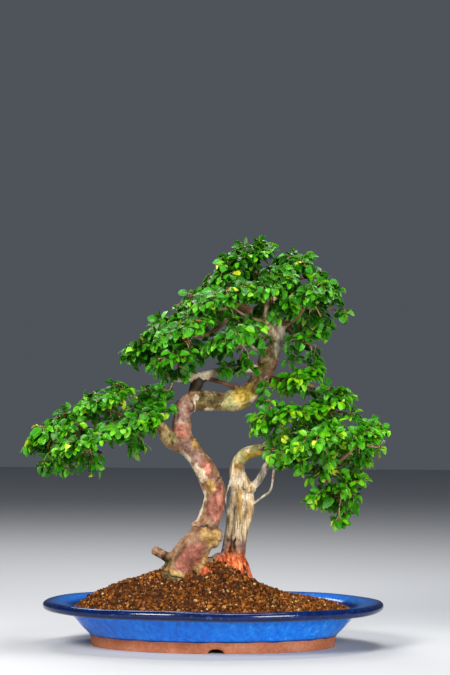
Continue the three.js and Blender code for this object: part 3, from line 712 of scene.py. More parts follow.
# Masses of foliage: the middle of each, the tone of its leaves, its sprays and the places and sizes
# of loose tufts on its limbs. The tones are partly painted light: the right mass is lighter and yellower
# for leaves glowing against the light, and the crown is darker for its deeper shade.
PADS = [
    {
        "middle": (30, 2, 420),
        "tone": 0.31,
        "sprays": [
            spray(44, 0, 503, "crownTop"), spray(96, -6, 486, "leader"),
            spray(18, 6, 478, "mossy", start=0.8), spray(136, 4, 447, "crownRight", thin=0.65),
            spray(-16, -8, 444, "mossy"), spray(-50, -12, 413, "crownLow"),
            spray(-80, -8, 390, "pink", size=0.85), spray(68, -60, 462, "crownFront"),
            spray(14, -66, 448, "crownFront", start=0.6), spray(-38, -60, 406, "crownLow", start=0.7),
            spray(26, -66, 396, "crownFront", start=0.5),
            spray(-48, -44, 372, "pink", start=0.7, size=0.85, thin=0.6),
            spray(118, -56, 450, "leader", start=0.6), spray(76, 60, 474, "crownBack"),
            spray(20, 64, 452, "crownLeft", start=0.6), spray(-46, 54, 406, "crownLeft"),
            spray(114, 62, 438, "crownBack", start=0.5),
            spray(124, -18, 402, "crownRight", start=0.2, size=0.7, thin=0.5),
        ],
        "tufts": [
            (95, -6, 509, 0.26), (132, -8, 486, 0.16), (72, -46, 440, 0.15), (18, -4, 512, 0.2),
            (34, -4, 524, 0.15), (-30, -6, 460, 0.15), (-72, -10, 424, 0.18), (-112, -12, 385, 0.16),
            (-62, -14, 356, 0.14), (14, -12, 366, 0.16), (40, -12, 366, 0.2), (50, -30, 432, 0.2),
            (60, -26, 404, 0.16), (104, -4, 378, 0.12), (168, 0, 440, 0.16),
        ],
    },
    {
        "middle": (-140, 0, 276),
        "tone": 0.42,
        "sprays": [
            spray(-206, -4, 271, "leftArm"), spray(-182, 42, 287, "leftArm", start=0.8),
            spray(-168, -50, 260, "leftArm", start=0.75), spray(-142, -2, 313, "leftArm", start=0.65),
            spray(-102, -46, 284, "leftArm", start=0.5, size=0.9),
            spray(-98, 44, 306, "leftArm", start=0.55),
        ],
        "tufts": [
            (-218, -10, 238, 0.2), (-196, -26, 234, 0.16), (-156, -24, 250, 0.16), (-162, -8, 326, 0.14),
            (-196, -10, 304, 0.13), (-226, -8, 284, 0.1), (-104, -14, 262, 0.15), (-68, -14, 306, 0.2),
            (-66, -10, 334, 0.2),
        ],
    },
    {
        "middle": (140, 0, 262),
        # Lighter, yellower tone as painted glow of leaves against the light
        "tone": 0.50,
        "sprays": [
            spray(116, -14, 348, "rightArm", start=0.6, size=0.8), spray(150, 16, 308, "rightArm"),
            spray(84, -34, 296, "arch", start=0.5, size=0.8, thin=0.8),
            spray(190, -24, 268, "arch", start=0.95), spray(138, -54, 268, "arch", start=0.8),
            spray(122, 50, 276, "arch", start=0.7), spray(186, 40, 244, "arch", start=0.9),
            spray(110, -34, 253, "arch", start=0.65, size=0.8), spray(168, 0, 200, "arch"),
        ],
        "tufts": [
            (76, -16, 257, 0.16), (68, -18, 344, 0.14), (66, -18, 322, 0.14), (54, -22, 300, 0.14),
            (138, -20, 228, 0.24), (184, -6, 198, 0.14), (166, -4, 168, 0.12), (218, -2, 262, 0.14),
            (180, -6, 306, 0.16), (146, -6, 336, 0.14),
        ],
    },
]


# Wood

# Routes of the stems: rows of x, y, z and radius
TRUNK = [
    (-54, -8, 77, 13), (-53, -8, 87, 18), (-47, -8, 99, 20.5), (-38, -8, 112, 21.5), (-29, -8, 124, 21),
    (-20, -8, 137, 19), (-13, -8, 152, 16.2), (-6, -8, 170, 14.6), (0, -8, 192, 14.2),
    (-2, -7, 208, 14.6), (-9, -7, 224, 14.6), (-18.5, -6, 240, 13), (-31, -4, 256, 12.4),
    (-40.5, -2, 268, 12.5), (-44, 0, 284, 12.6), (-43, 1, 302, 12), (-40, 2, 315, 11.8),
    (-30, 3, 321, 12.4), (-10, 5, 322.5, 13.4), (8, 6, 321, 11.8), (27, 7, 323.5, 14), (41, 9, 330, 13.8),
    (54, 10, 342, 13), (61, 12, 356, 13), (68, 12, 370, 12.6), (74, 12, 384, 11.2), (80, 11, 399, 9),
]
STRANDS = [
    [
        (11, 20, 82, 6.2), (14, 21, 108, 6.2), (18, 22, 130, 5.5), (21, 23, 150, 5.2), (23, 24, 170, 5.2),
        (26, 25, 190, 5.6), (30, 26, 212, 6.5),
    ],
    [
        (30, 13, 82, 6.2), (31, 15, 110, 6.4), (33, 16, 130, 5.8), (32, 17, 150, 5.6), (36, 18, 176, 5.6),
        (37, 20, 190, 6), (34, 25, 210, 6.5),
    ],
    [
        (35, 24, 82, 5.8), (37, 24, 116, 5.8), (41, 24, 148, 5.4), (46, 24, 166, 5.4), (49, 24, 186, 5.7),
        (46, 25, 206, 5.9), (36, 26, 226, 6),
    ],
    [(24, 34, 82, 8.4), (25, 34, 110, 8.2), (27, 33, 140, 7.4), (31, 30, 184, 7.4), (31, 28, 208, 8.6)],
    [(22, 17, 84, 3), (25, 17, 112, 3), (27, 18, 140, 2.6), (30, 19, 168, 2.6), (33, 21, 200, 3)],
]
SIDE_BRANCH = [
    (44, 24, 204, 5), (57, 21, 213, 4.9), (64, 19, 224, 4.9), (70, 17, 236, 4.8), (86, 15, 248, 4.8),
]
AERIAL_ROOTS = [
    [(46, 22, 182, 2.2), (55, 19, 187, 1.9), (65, 17, 195, 1.9), (76, 15, 206, 1.9), (81, 16, 242, 2)],
    [(22, 22, 160, 1.8), (16, 20, 180, 1.4), (16, 20, 197, 1.4), (22, 22, 216, 1.8)],
]
ROOTS = [
    [(-32, 0, 108, 11), (-8, 12, 104, 9), (20, 22, 104, 8)],
    [(-46, -10, 104, 11), (-58, -12, 95, 9.5), (-62, -12, 80, 8)],
    [(-36, 0, 112, 10), (-60, 20, 98, 8), (-78, 34, 78, 5)],
    [(-26, -14, 112, 8), (-16, -28, 98, 6.5), (-6, -40, 80, 4)],
    [(13, 15, 113, 7), (5, 2, 104, 5.4), (-4, -14, 84, 3.4)],
    [(36, 18, 116, 5.2), (44, 8, 102, 3.8), (52, -2, 80, 2.6)],
    [(28, 26, 116, 7), (38, 42, 98, 5), (46, 58, 76, 3)],
]
# Thin root ends over the soil, which the solids leave out
THIN_ROOTS = [
    [(24, 8, 120, 5), (21, -2, 109, 4.4), (18, -14, 103, 3.2), (14, -24, 98, 2)],
    [(33, 8, 118, 4.6), (35, -2, 102, 4.2), (37, -12, 90, 2.4)],
    [(28, 8, 120, 5), (28, -4, 105, 4.6), (28, -14, 97, 2.6)],
    [(16, 10, 120, 5), (9, 0, 113, 4.4), (2, -10, 109, 3)],
    [(38, 12, 110, 2), (44, 0, 100, 1.5), (49, -8, 84, 1.1)],
    [(-22, -18, 114, 5), (-9, -17, 111, 4.6), (6, -6, 110, 3.6), (16, 8, 111, 4)],
    [(-24, -22, 107, 5.4), (-14, -30, 102, 4.6), (-4, -36, 97, 3)],
    [(-2, -4, 112, 4.4), (6, 8, 116, 5), (14, 16, 116, 4.4)],
]
BLACK_ROOT = [
    (5, 10, 118, 2.2), (4, -2, 112, 1.7), (10, -14, 104, 1.5), (19, -26, 92, 1.3), (27, -38, 80, 1),
]
STUBS = [
    [(-52, -10, 110, 6.6), (-63, -14, 117, 6.2), (-79, -20, 126, 6)],
    [(-29, 4, 326, 9), (-27, 0, 337, 8), (-24, -1, 346, 8.6), (-24, -1, 353, 7)],
    [(-24, 0, 349, 3.6), (-8, 1, 350, 2.6), (4, 2, 348, 3.1), (18, 4, 343, 2.4), (32, 7, 336, 2.8)],
]
KNOBS = [
    ((-27, -10, 265), (6, 7, 8)), ((-27, -14, 159), (5, 7, 4.5)), ((3.5, -9, 149), (7, 12, 5.5)),
    ((4.5, -9, 142), (6.5, 12, 7)), ((-1, -10, 135), (7.5, 11, 7)), ((-7, -16, 145), (10, 8.5, 9)),
    ((-16, -18, 151), (9, 6.5, 5)), ((27, 6, 341), (4.5, 4.5, 4.5)), ((-31, -6, 319), (7, 9, 13)),
    ((37, 2, 326), (10, 12, 10)), ((-2, -5, 209), (10, 11, 8)), ((49, 20, 205), (7, 6, 6)),
    ((12, 13, 108), (8, 8, 10)),
]
LIMBS = {
    "leader": [
        (77, 12, 388, 9.4), (83, 11, 402, 8.4), (86, 9, 416, 7.2), (85, 6, 434, 6), (90, 0, 458, 4.4),
    ],
    "arch": [
        (31, 27, 204, 9.6), (31, 27, 226, 9.6), (34, 26, 241, 9.2), (43, 25, 251, 9), (57, 22, 256, 8.4),
        (72, 19, 255, 7.8), (94, 12, 249, 6.8), (118, 4, 238, 5.6), (142, 0, 226, 4.4),
    ],
    "crownTop": [(85, 6, 438, 5), (76, 4, 460, 4.4), (62, 2, 480, 3.6)],
    "crownRight": [(86, 9, 418, 5), (104, 3, 434, 4.2), (122, 2, 444, 3.2)],
    "crownBack": [(84, 12, 404, 5.6), (80, 34, 422, 5), (78, 50, 446, 4)],
    "crownFront": [(82, 8, 404, 5.4), (72, -18, 416, 4.6), (64, -42, 430, 4.2), (64, -54, 446, 3.4)],
    "mossy": [
        (80, 12, 398, 6.4), (74, 14, 416, 6), (58, 14, 432, 5.4), (38, 10, 446, 4.8), (12, 0, 454, 3.8),
    ],
    "crownLeft": [(76, 16, 388, 5), (50, 26, 396, 4.6), (24, 38, 408, 3.8), (-14, 50, 414, 3)],
    "crownLow": [(58, 14, 430, 5), (30, 6, 430, 4.2), (-12, -8, 424, 3.2)],
    "pink": [
        (60, 12, 366, 5.4), (33, 6, 364, 4.8), (5, 2, 361, 4.8), (-27, -2, 354, 4.6), (-53, -6, 351, 4),
        (-74, -8, 364, 3.2),
    ],
    "leftArm": [
        (-38, -2, 258, 10), (-53, -4, 266, 10.4), (-64, -6, 275, 9), (-71, -8, 287, 6.8),
        (-86, -8, 298, 5.2), (-110, -6, 298, 4.6), (-138, -4, 288, 4.2), (-172, -4, 272, 3.4),
    ],
    "rightArm": [(60, 12, 352, 6), (84, 4, 350, 5), (106, -4, 350, 4.2), (130, 4, 340, 3.4)],
}


def on_route(route, share):
    """The row of numbers a share of the way along a route."""
    at = share * (len(route) - 1)
    low = min(int(at), len(route) - 2)
    return lerp(np.array(route[low], dtype=float), np.array(route[low + 1], dtype=float), at - low)


def limb_routes():
    """Every limb, run on to the spray at its tip, and the branchlets to the other sprays."""
    limbs = {name: list(route) for name, route in LIMBS.items()}
    branchlets = []
    for row in itertools.chain(*(pad["sprays"] for pad in PADS)):
        if row["start"] == 1:
            limbs[row["limb"]].append((*row["at"], TIP_RADIUS))
            continue
        start = on_route(LIMBS[row["limb"]], row["start"])
        tip = np.array(row["at"], dtype=float)
        reach = np.linalg.norm(tip - start[:3])
        radius = min(start[3] * 0.8, 1.5 + reach * 0.02)
        bend = lerp(start[:3], tip, 0.5) - (0, 0, reach * 0.1)
        branchlets.append([(*start[:3], radius), (*bend, radius * 0.82), (*tip, TIP_RADIUS)])
    return limbs, branchlets


def ball_arrays(middle, half, around=18, rows=10):
    """A closed ball stretched to its half sizes."""
    points = []
    for r in range(1, rows):
        polar = math.pi * r / rows
        for k in range(around):
            angle = 2 * math.pi * k / around
            ring = math.sin(polar)
            points.append((ring * math.cos(angle), ring * math.sin(angle), -math.cos(polar)))
    points += [(0, 0, -1), (0, 0, 1)]
    return np.array(points) * half + middle, np.array(closed_rings(rows - 1, around))


def make_wood():
    """Trunks, strands and roots are fused and given the relief of their bark; limbs are plain tubes."""
    limbs, branchlets = limb_routes()
    thick = Heap()
    for route, sides in (
        [(TRUNK, 28), (SIDE_BRANCH, 14), (limbs["arch"], 18), (limbs["leader"], 14), (limbs["mossy"], 14)]
        + [(limbs["leftArm"][:6], 16)]
        + [(route, 16) for route in STRANDS]
        + [(route, 12) for route in ROOTS + THIN_ROOTS + STUBS + AERIAL_ROOTS + [BLACK_ROOT]]
    ):
        thick.add(*tube_arrays(spline(route, 6), sides))
    for middle, half in KNOBS:
        thick.add(*ball_arrays(middle, half))
    piece = thick.piece("tree_wood")
    remesh = piece.modifiers.new("fuse", "REMESH")
    remesh.mode = "VOXEL"
    remesh.voxel_size = WOOD_VOXEL_MM * MM
    soften = piece.modifiers.new("soften", "SMOOTH")
    soften.factor = 0.5
    soften.iterations = 2
    apply_modifiers(piece)
    finish_wood(piece)
    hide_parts("wood")
    thin = Heap()
    for route in limbs.values():
        thin.add(*tube_arrays(spline(route, 8), 12))
    for route in branchlets:
        thin.add(*tube_arrays(spline(route, 6), 8))
    finish_wood(thin.piece("tree_limbs"))


def finish_wood(piece):
    points = tree_points(piece)
    nearest = {name: nearest_share(points, line) for name, line in TINT_LINES.items()}
    wandering = points + np.array([drift(Vector(p)) for p in points])
    cracks = patches_at(wandering, CRACKS) * (nearest["branches"] > 1.6)
    relief(piece, points, nearest, cracks)
    tint(piece, points, wandering, nearest, cracks)
    dress(piece, "bark", BARK)
    piece.data.polygons.foreach_set("use_smooth", np.ones(len(piece.data.polygons), dtype=bool))


def tree_points(piece):
    """The piece's points as places on the tree, in millimetres."""
    return read_rows(piece.data.vertices, "co", 3) * 1000 - np.array(POT_MIDDLE) * 1000


# Lines that the colours and the relief follow
TINT_LINES = {
    "trunk": spline(TRUNK, 5),
    "second": np.vstack([spline(route, 4) for route in STRANDS] + [spline(LIMBS["arch"][:6], 4)]),
    "arch_end": spline(LIMBS["arch"][5:], 4),
    "leader": spline(LIMBS["leader"], 4),
    "pink": spline(LIMBS["pink"], 4),
    "side": np.vstack([spline(SIDE_BRANCH, 4)] + [spline(route, 6) for route in AERIAL_ROOTS]),
    "arm": spline(LIMBS["leftArm"][:6], 4),
    "stub": spline(STUBS[0], 4),
    "dark_stub": spline(STUBS[1], 4),
    "twig": spline(STUBS[2], 5),
    "black_root": spline(BLACK_ROOT, 5),
    "branches": np.vstack([spline(LIMBS[name], 4) for name in LIMBS if name.startswith("crown")]),
}


def nearest_share(points, line):
    """Distance to a line's nearest place, as a share of the radius there."""
    nearest = np.full(len(points), 99.0)
    for row in line:
        nearest = np.minimum(nearest, np.linalg.norm(points - row[:3], axis=1) / row[3])
    return nearest


# Where the drift along X, Y and Z is read; the plain noise repeats from run to run, its vector form doesn't
DRIFT_OFFSETS = (Vector((9.3, -1.5, -8.0)), Vector((-3.7, 5.2, 12.6)), Vector((-6.3, 11.2, 3.9)))


def drift(p):
    """Sways the edges of the patches of bark by some millimetres."""
    return [noise.noise(p * 0.075 + at) * 4.5 + noise.noise(p * 0.22 + at) * 2.0 for at in DRIFT_OFFSETS]


def patch_at(points, patch):
    """1 in the middle of an oval of the front view, a half at its edge, 0 outside."""
    x, z, half_width, half_length, lean = patch
    cos, sin = math.cos(math.radians(lean)), math.sin(math.radians(lean))
    dx, dz = points[:, 0] - x, points[:, 2] - z
    across = (dx * cos - dz * sin) / half_width
    along = (dx * sin + dz * cos) / half_length
    return 0.5 ** ((across**2 + along**2) ** 1.3)


# Ovals of bark in the front view: x, z, half width, half length and lean to the right in degrees
PATCHES = {
    "umber": [
        (-44, 124, 5, 14, 36), (-12, 168, 5, 15, 18), (-8, 178, 6, 13, 15), (-13, 155, 2.5, 15, 82),
        (-52, 290, 5, 11, 4), (19, 134, 8, 13, 8), (28, 138, 5, 12, 0),
    ],
    "mauve": [
        (-35, 264, 10, 11, -25), (-42, 309, 13, 18, 0), (-24, 249, 9, 9, -40), (38, 131, 8, 9, 0),
        (17, 128, 7, 8, 0), (-2, 172, 4.5, 7, 15), (-3, 215, 12, 6, 0),
    ],
    "red": [
        (-32, 116, 13, 28, 38), (5, 198, 9, 17, 4), (2, 180, 12, 14, 10), (-11, 232, 9, 12, -32),
        (-44, 285, 10, 7, 0),
    ],
    "coral": [(9, 172, 5, 15, 12), (8, 196, 4, 12, 0), (-44, 278, 7, 3.5, 10), (-9, 232, 4, 7, -32)],
    "moss": [
        (-52, 84, 19, 13, 0), (-63, 106, 6, 13, 32), (-8, 322, 17, 18, 0), (58, 352, 9, 15, 30),
        (66, 376, 10, 17, 22), (72, 396, 8, 14, 10), (-23, 273, 4, 8, 0),
    ],
    "olive": [(18, 322, 9, 16, 0), (38, 247, 12, 12, 0), (56, 258, 16, 12, 90), (-62, 274, 12, 9, 0)],
    "grey": [(-41, 81, 8, 6, 0), (34, 222, 8, 10, 0), (66, 226, 20, 20, 0)],
    "yellow": [(37, 327, 14, 13, 60), (50, 338, 8, 7, 45), (52, 250, 14, 4, 0)],
    "ochre": [
        (0, 143, 14, 12, 0), (-12, 149, 8, 5, 90), (-52, 97, 3, 16, 116), (-14, 111, 4.5, 28, 46),
        (-7, 210, 8, 9, -20), (-27, 270, 5, 14, -14), (31, 233, 4.5, 5, 0), (35, 184, 2.6, 25, 0),
        (56, 342, 5, 7, 40),
    ],
    # Cream is pale bark; the narrow ovals on the trunk's left edge (z 176 to 245) and at x 39.5, z 191 on a
    # strand's right side are also painted highlights where light catches those edges
    "cream": [
        (-20, 176, 3, 12, 20), (-15, 193, 3, 10, 5), (-20, 228, 6.5, 12, -30), (-37, 245, 4.5, 13, -38),
        (33, 216, 7, 10, 0), (24, 205, 3.5, 14, 6), (-27.5, 315, 2, 10, 0), (-24, 325, 4.5, 4, 0),
        (-10, 311, 7, 1.6, 0), (52, 327, 4, 9, 55), (66, 349, 4, 9, 35), (39.5, 191, 2.5, 12, 0),
        (20, 186, 3, 16, 4),
    ],
}

# Narrow cracks and folds, in the same terms; they are sunk into the bark and darkened as painted shade
CRACKS = [
    (-52, 93, 1.3, 15, 116), (-61, 110, 1.3, 8, 36), (-57, 271, 1.6, 9, -20), (-32, 315, 1.4, 13, 0),
    (9, 323, 0.9, 11, 6), (5, 221, 1.0, 6, 38), (-14, 156, 1.3, 11, 84), (29, 155, 0.9, 13, 0),
    (33.5, 160, 0.8, 12, 3), (27.5, 134, 1.8, 10, 0), (42, 206, 1.4, 9, 0), (37, 212, 1.0, 7, -20),
    (-30, 298, 1.0, 10, 0), (21.5, 124, 0.8, 10, 4),
]


def relief(piece, points, nearest, cracks):
    """Swells, long flutes, raised flakes and sunken cracks of the bark, moved along the normals."""
    mesh = piece.data
    normals = read_rows(mesh.vertices, "normal", 3)
    lift = np.zeros(len(points))
    size = np.where(np.minimum(nearest["trunk"], nearest["arm"]) < 1.35, 1.0, 0.4)
    rough = 1 + 4.5 * spot(points, (1, -12, 143), (12, 14, 12))
    for i, (x, y, z) in enumerate(points):
        swell = noise.noise((x * 0.05, y * 0.05, z * 0.035))
        flute = noise.noise((x * 0.2, y * 0.2, z * 0.04))
        flake = noise.noise((x * 0.11, y * 0.11, z * 0.1 + 40))
        crumb = noise.noise((x * 0.5, y * 0.5, z * 0.4))
        lift[i] = swell * 1.3 + flute * 0.8 + 0.5 * smoothstep((flake - 0.05) / 0.1)
        lift[i] += crumb * 0.4 * rough[i]
    lift = lift * size - 1.5 * cracks
    mesh.vertices.foreach_set("co", to_scene(points + normals * lift[:, None]).ravel())
    mesh.update()


def fade(value, low, high):
    return np.clip((value - low) / (high - low), 0, 1)


def spot(points, middle, half):
    """1 at a place, falling to 0 beyond its half sizes."""
    gaps = [((points[:, k] - middle[k]) / half[k]) ** 2 for k in range(3)]
    return np.exp(-sum(gaps))


def most(*layers):
    return np.maximum.reduce(layers)


def patches_at(points, patches):
    return most(*(patch_at(points, patch) for patch in patches))


def tint(piece, points, wandering, nearest, cracks):
    """How much of each coat of bark a point has, kept as values on the points; dark is partly painted
    shade, and the leader's pale and cream coats are partly painted sunlight.
    """
    x, y, z = points.T
    on = {name: 1 - fade(share, 1.35, 1.7) for name, share in nearest.items()}
    stem = most(on["trunk"], on["second"], on["arm"], on["stub"], on["side"]) * (1 - on["branches"])
    coats = {name: patches_at(wandering, patches) * stem for name, patches in PATCHES.items()}
    streaks = np.array([noise.noise((p[0] * 0.3, p[1] * 0.3, p[2] * 0.02)) for p in points])
    height = z + 16 * streaks
    ground = (1 - fade(height, 112, 132)) * fade(x, -26, -14) * (1 - on["black_root"])
    ground = ground * (1 - on["trunk"] * fade(z, 98, 110))
    coats["orange"] = ground * (1 - 0.8 * coats["ochre"])
    # Painted sunlight: the pale and cream coats on the leader and its crown limbs cover only their right
    # side, from x 77-81 to 92-98 and z 368-455
    leader = most(on["leader"], on["branches"]) * fade(x + 0.25 * y, 77, 81) * (1 - fade(x, 92, 98))
    leader = leader * fade(z, 368, 384) * (1 - fade(z, 440, 455))
    coats["pale"] = most(
        on["second"] * fade(height, 120, 158) * (1 - on["trunk"]),
        on["side"] * 0.35,
        on["pink"],
        on["branches"] * 0.75,
        leader,
        spot(points, (50, 19, 205), (10, 9, 9)),
    ) * (1 - 0.85 * coats["olive"])
    coats["grey"] = most(coats["grey"], on["side"])
    # leader * 0.9 paints the sunlit side of the leader cream
    coats["cream"] = most(coats["cream"], on["pink"] * 0.9, leader * 0.9)
    coats["umber"] = most(coats["umber"], on["twig"])
    coats["moss"] = most(coats["moss"], on["arch_end"] * 0.6)
    coats["ochre"] = most(coats["ochre"], on["arm"] * 0.6 * (1 - on["trunk"]))
    # Painted shade in the gaps where the strands meet, below z 196-222
    crevice_shade = on["second"] * fade(nearest["second"], 1.04, 1.22) * (1 - fade(z, 196, 222))
    # dark: painted shade in the cracks, in the gaps between strands and on the cut face at the first
    # trunk's foot, with the dark stub's top, the twig's streaks, the black root and two dark spots
    dark = most(
        cracks,
        on["dark_stub"] * fade(z, 332, 336) * (1 - on["pink"]),
        on["twig"] * fade(streaks, 0.1, 0.3) * 0.6,
        crevice_shade * 0.5,
        on["black_root"],
        patch_at(wandering, (-66, 118, 4.5, 7, 35)),
        # Painted shade on the downward cut face at the first trunk's foot
        patch_at(wandering, (-58, 87, 8, 9, 0)) * 0.7,
        spot(points, (27, 6, 341), (6, 6, 6)),
    )
    coats["dark"] = dark * (1 - coats["cream"] * 0.5)
    for name, values in coats.items():
        set_values(piece, name, np.clip(values, 0, 1))


# Foliage

SPRAY_REACH = np.array((47.0, 45.0, 35.0))
LEAF_STATIONS = (-0.12, 0.04, 0.19, 0.37, 0.55, 0.73, 0.89, 1.0)
LEAF_BROAD_SHARE = 0.88
LEAF_ROUNDNESS = 0.58
LEAF_THICKNESS = 0.03


def leaf_template(cup, droop, twist, broad):
    """A toothed leaf with a short stalk, 1 long, with top and under faces that meet at its edge."""
    rows = []
    index = {}
    last = len(LEAF_STATIONS) - 1
    for station, u in enumerate(LEAF_STATIONS):
        share = max(u, 0.0)
        blade = math.sin(math.pi * share**LEAF_BROAD_SHARE) ** LEAF_ROUNDNESS if 0 < share < 1 else 0
        width = broad / 2 * blade if station > 1 else 0.03
        width *= 1.05 if station % 2 else 0.95
        turn = twist * share
        for column in (0,) if station in (0, last) else (-1, 0, 1):
            v = column * width
            lift = cup * v * v * 4 - droop * share**2
            index[station, column, "top"] = len(rows)
            rows.append((u, v * math.cos(turn), v * math.sin(turn) + lift, share, abs(column)))
        if station not in (0, last):
            x, y, z = rows[index[station, 0, "top"]][:3]
            index[station, 0, "under"] = len(rows)
            rows.append((x, y, z - LEAF_THICKNESS, share, 0))

    def corner(station, column, face):
        if station in (0, last):
            return index[station, 0, "top"]
        return index[station, column, face if column == 0 else "top"]

    triangles = []
    for face, station, left in itertools.product(("top", "under"), range(last), (-1, 0)):
        a = corner(station, left, face)
        b = corner(station + 1, left, face)
        c = corner(station + 1, left + 1, face)
        d = corner(station, left + 1, face)
        for triangle in ((a, b, c), (a, c, d)):
            if len(set(triangle)) == 3:
                triangles.append(triangle if face == "under" else triangle[::-1])
    rows = np.array(rows)
    edge = rows[:, 4].copy()
    edge[[0, -1]] = 1
    values = {"along": rows[:, 3], "across": rows[:, 4], "edge": edge}
    return {"points": rows[:, :3], "triangles": np.array(triangles), "values": values}


LEAF_SHAPES = [
    leaf_template(0.5, 0.10, 0.0, 0.64),
    leaf_template(0.8, 0.20, 0.3, 0.58),
    leaf_template(0.35, 0.26, -0.35, 0.68),
    leaf_template(0.9, 0.02, 0.15, 0.60),
    leaf_template(0.15, 0.14, -0.15, 0.72),
]


def unit(v):
    return v / (np.linalg.norm(v) + 1e-9)


def leaf_frame(direction, upper):
    direction = unit(direction)
    upper = unit(upper - direction * upper.dot(direction))
    return np.stack([direction, np.cross(upper, direction), upper], axis=1)


def spray_directions(outward, count, rng):
    """Even directions over a sphere, fewest towards the inside of the foliage mass and straight down."""
    made = []
    k = 0
    while len(made) < count:
        k += 1
        z = 1 - 2 * ((k * 0.618034 + rng.random() * 0.06) % 1.0)
        angle = k * 2.399963 + rng.random() * 0.5
        ring = math.sqrt(max(0.0, 1 - z * z))
        direction = np.array((ring * math.cos(angle), ring * math.sin(angle), z))
        inside = direction.dot(outward) < -0.35 or direction[2] < -0.75
        if not inside or rng.random() < 0.3:
            made.append(direction)
    return made


def make_spray(number, row, pad):
    rng = np.random.default_rng(SEED * 100 + number)
    centre = np.array(row["at"], dtype=float)
    size = row["size"]
    outward = unit(centre - np.array(pad["middle"], dtype=float))
    leaves = Heap()
    twigs = Heap()
    count = int(TWIGS_PER_SPRAY * row["thin"] * size)
    grow(leaves, twigs, centre, size, outward, count, pad["tone"], rng)
    piece = join_spray("foliage_%02d" % number, leaves, twigs)
    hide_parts("spray_%02d" % number)


def grow(leaves, twigs, centre, size, outward, count, tone, rng):
    """Leafy twigs from a centre, each arched up and then over towards its tip."""
    for direction in spray_directions(outward, count, rng):
        tip = centre + direction * SPRAY_REACH * size * rng.uniform(0.6, 1.0)
        tip[2] -= 4 * (1 - abs(direction[2]))
        length = np.linalg.norm(tip - centre)
        start = centre + direction * 3 * size + rng.normal(0, 2.5, 3) * size
        rise = np.array((0, 0, length))
        near = start + direction * length * 0.3 + rise * 0.09 + rng.normal(0, 1.8, 3)
        far = start + direction * length * 0.68 + rise * 0.08 + rng.normal(0, 1.8, 3)
        path = spline([(*start, 1.15), (*near, 0.95), (*far, 0.65), (*tip, 0.3)], 3)
        twigs.add(*tube_arrays(path, 3))
        add_leaves(leaves, path, direction, outward, size, tone, rng)


def make_tufts(number, pad):
    """Loose tufts of leaves, each on a thin stem from the nearest limb."""
    rng = np.random.default_rng(SEED * 300 + number)
    leaves = Heap()
    twigs = Heap()
    stems = np.vstack([spline(route, 6) for route in LIMBS.values()])
    stems = np.vstack([stems] + [[(*row["at"], TIP_RADIUS)] for row in pad["sprays"]])
    for x, y, z, size in pad["tufts"]:
        centre = np.array((x, y, z), dtype=float)
        stem = stems[np.argmin(np.linalg.norm(stems[:, :3] - centre, axis=1)), :3]
        bend = lerp(stem, centre, 0.5) + rng.normal(0, 3, 3)
        twigs.add(*tube_arrays(spline([(*stem, 1.5), (*bend, 1.2), (*centre, 0.9)], 5), 6))
        outward = unit(centre - stem) * 0.5
        grow(leaves, twigs, centre, size, outward, int(TUFT_TWIGS * size), pad["tone"], rng)
    join_spray("tufts_%d" % number, leaves, twigs)


def add_leaves(leaves, path, direction, outward, size, tone, rng):
    """Alternate leaves in two ranks along a twig and one at its tip."""
    count = max(2, round(LEAVES_PER_TWIG * size**0.6) + int(rng.integers(-1, 2)))
    side_sign = 1 if rng.random() < 0.5 else -1
    for k in range(count + 1):
        share = 0.3 + 0.7 * k / count
        at = share * (len(path) - 1)
        low = min(int(at), len(path) - 2)
        spot_on_twig = lerp(path[low, :3], path[low + 1, :3], at - low)
        forward = unit(path[low + 1, :3] - path[low, :3])
        sky = unit(np.array((0, 0, 0.6)) + outward * 0.25 + direction * 0.45 + rng.normal(0, 0.25, 3))
        side = unit(np.cross(sky, forward)) * side_sign
        side_sign = -side_sign
        if k == count:
            heading = forward + rng.normal(0, 0.15, 3)
        else:
            lean = math.radians(rng.uniform(38, 75))
            heading = forward * math.cos(lean) + side * math.sin(lean) + rng.normal(0, 0.16, 3)
        heading[2] -= 0.12
        young = smoothstep((share - 0.75) / 0.25)
        length = LEAF_MM * rng.uniform(0.72, 1.14) * (1 - 0.2 * young)
        if rng.random() < 0.04:
            length *= 1.4
        shape = LEAF_SHAPES[int(rng.integers(len(LEAF_SHAPES)))]
        upper = sky + rng.normal(0, 0.25, 3)
        turned = (shape["points"] * length) @ leaf_frame(heading, upper).T
        start = spot_on_twig + unit(heading) * length * 0.12
        # Leaves nearer the twig's base are darker: older leaves, and painted shade inside the spray
        shade = tone + rng.normal(0, 0.16) + 0.2 * young - 0.3 * (1 - share)
        if rng.random() < 0.012:
            shade = 1.0
        leaves.add(turned + start, shape["triangles"], tone=clamp(shade), **shape["values"])


def join_spray(name, leaves, twigs):
    """One piece of leaves and twigs, with the leaves' rims kept sharp."""
    leaf_faces = sum(len(faces) for faces in leaves.triangles)
    twig_points = np.concatenate(twigs.points)
    rims = np.concatenate(leaves.values.pop("edge") + [np.zeros(len(twig_points))]) > 0.5
    leaves.add(twig_points, np.concatenate(twigs.triangles), tone=0, along=0, across=0)
    piece = leaves.piece(name)
    mesh = piece.data
    ends = read_rows(mesh.edges, "vertices", 2, np.int32)
    sharp = mesh.attributes.new("sharp_edge", "BOOLEAN", "EDGE")
    sharp.data.foreach_set("value", rims[ends].all(axis=1))
    dress(piece, "leaf", LEAF, TWIG)
    is_twig = np.ones(len(mesh.polygons), dtype=np.int32)
    is_twig[:leaf_faces] = 0
    mesh.polygons.foreach_set("material_index", is_twig)
    mesh.update()
    return piece


def make_foliage():
    numbers = itertools.count(1)
    for mass, pad in enumerate(PADS):
        for row in pad["sprays"]:
            make_spray(next(numbers), row, pad)
        make_tufts(mass, pad)


# Stage, lights and camera

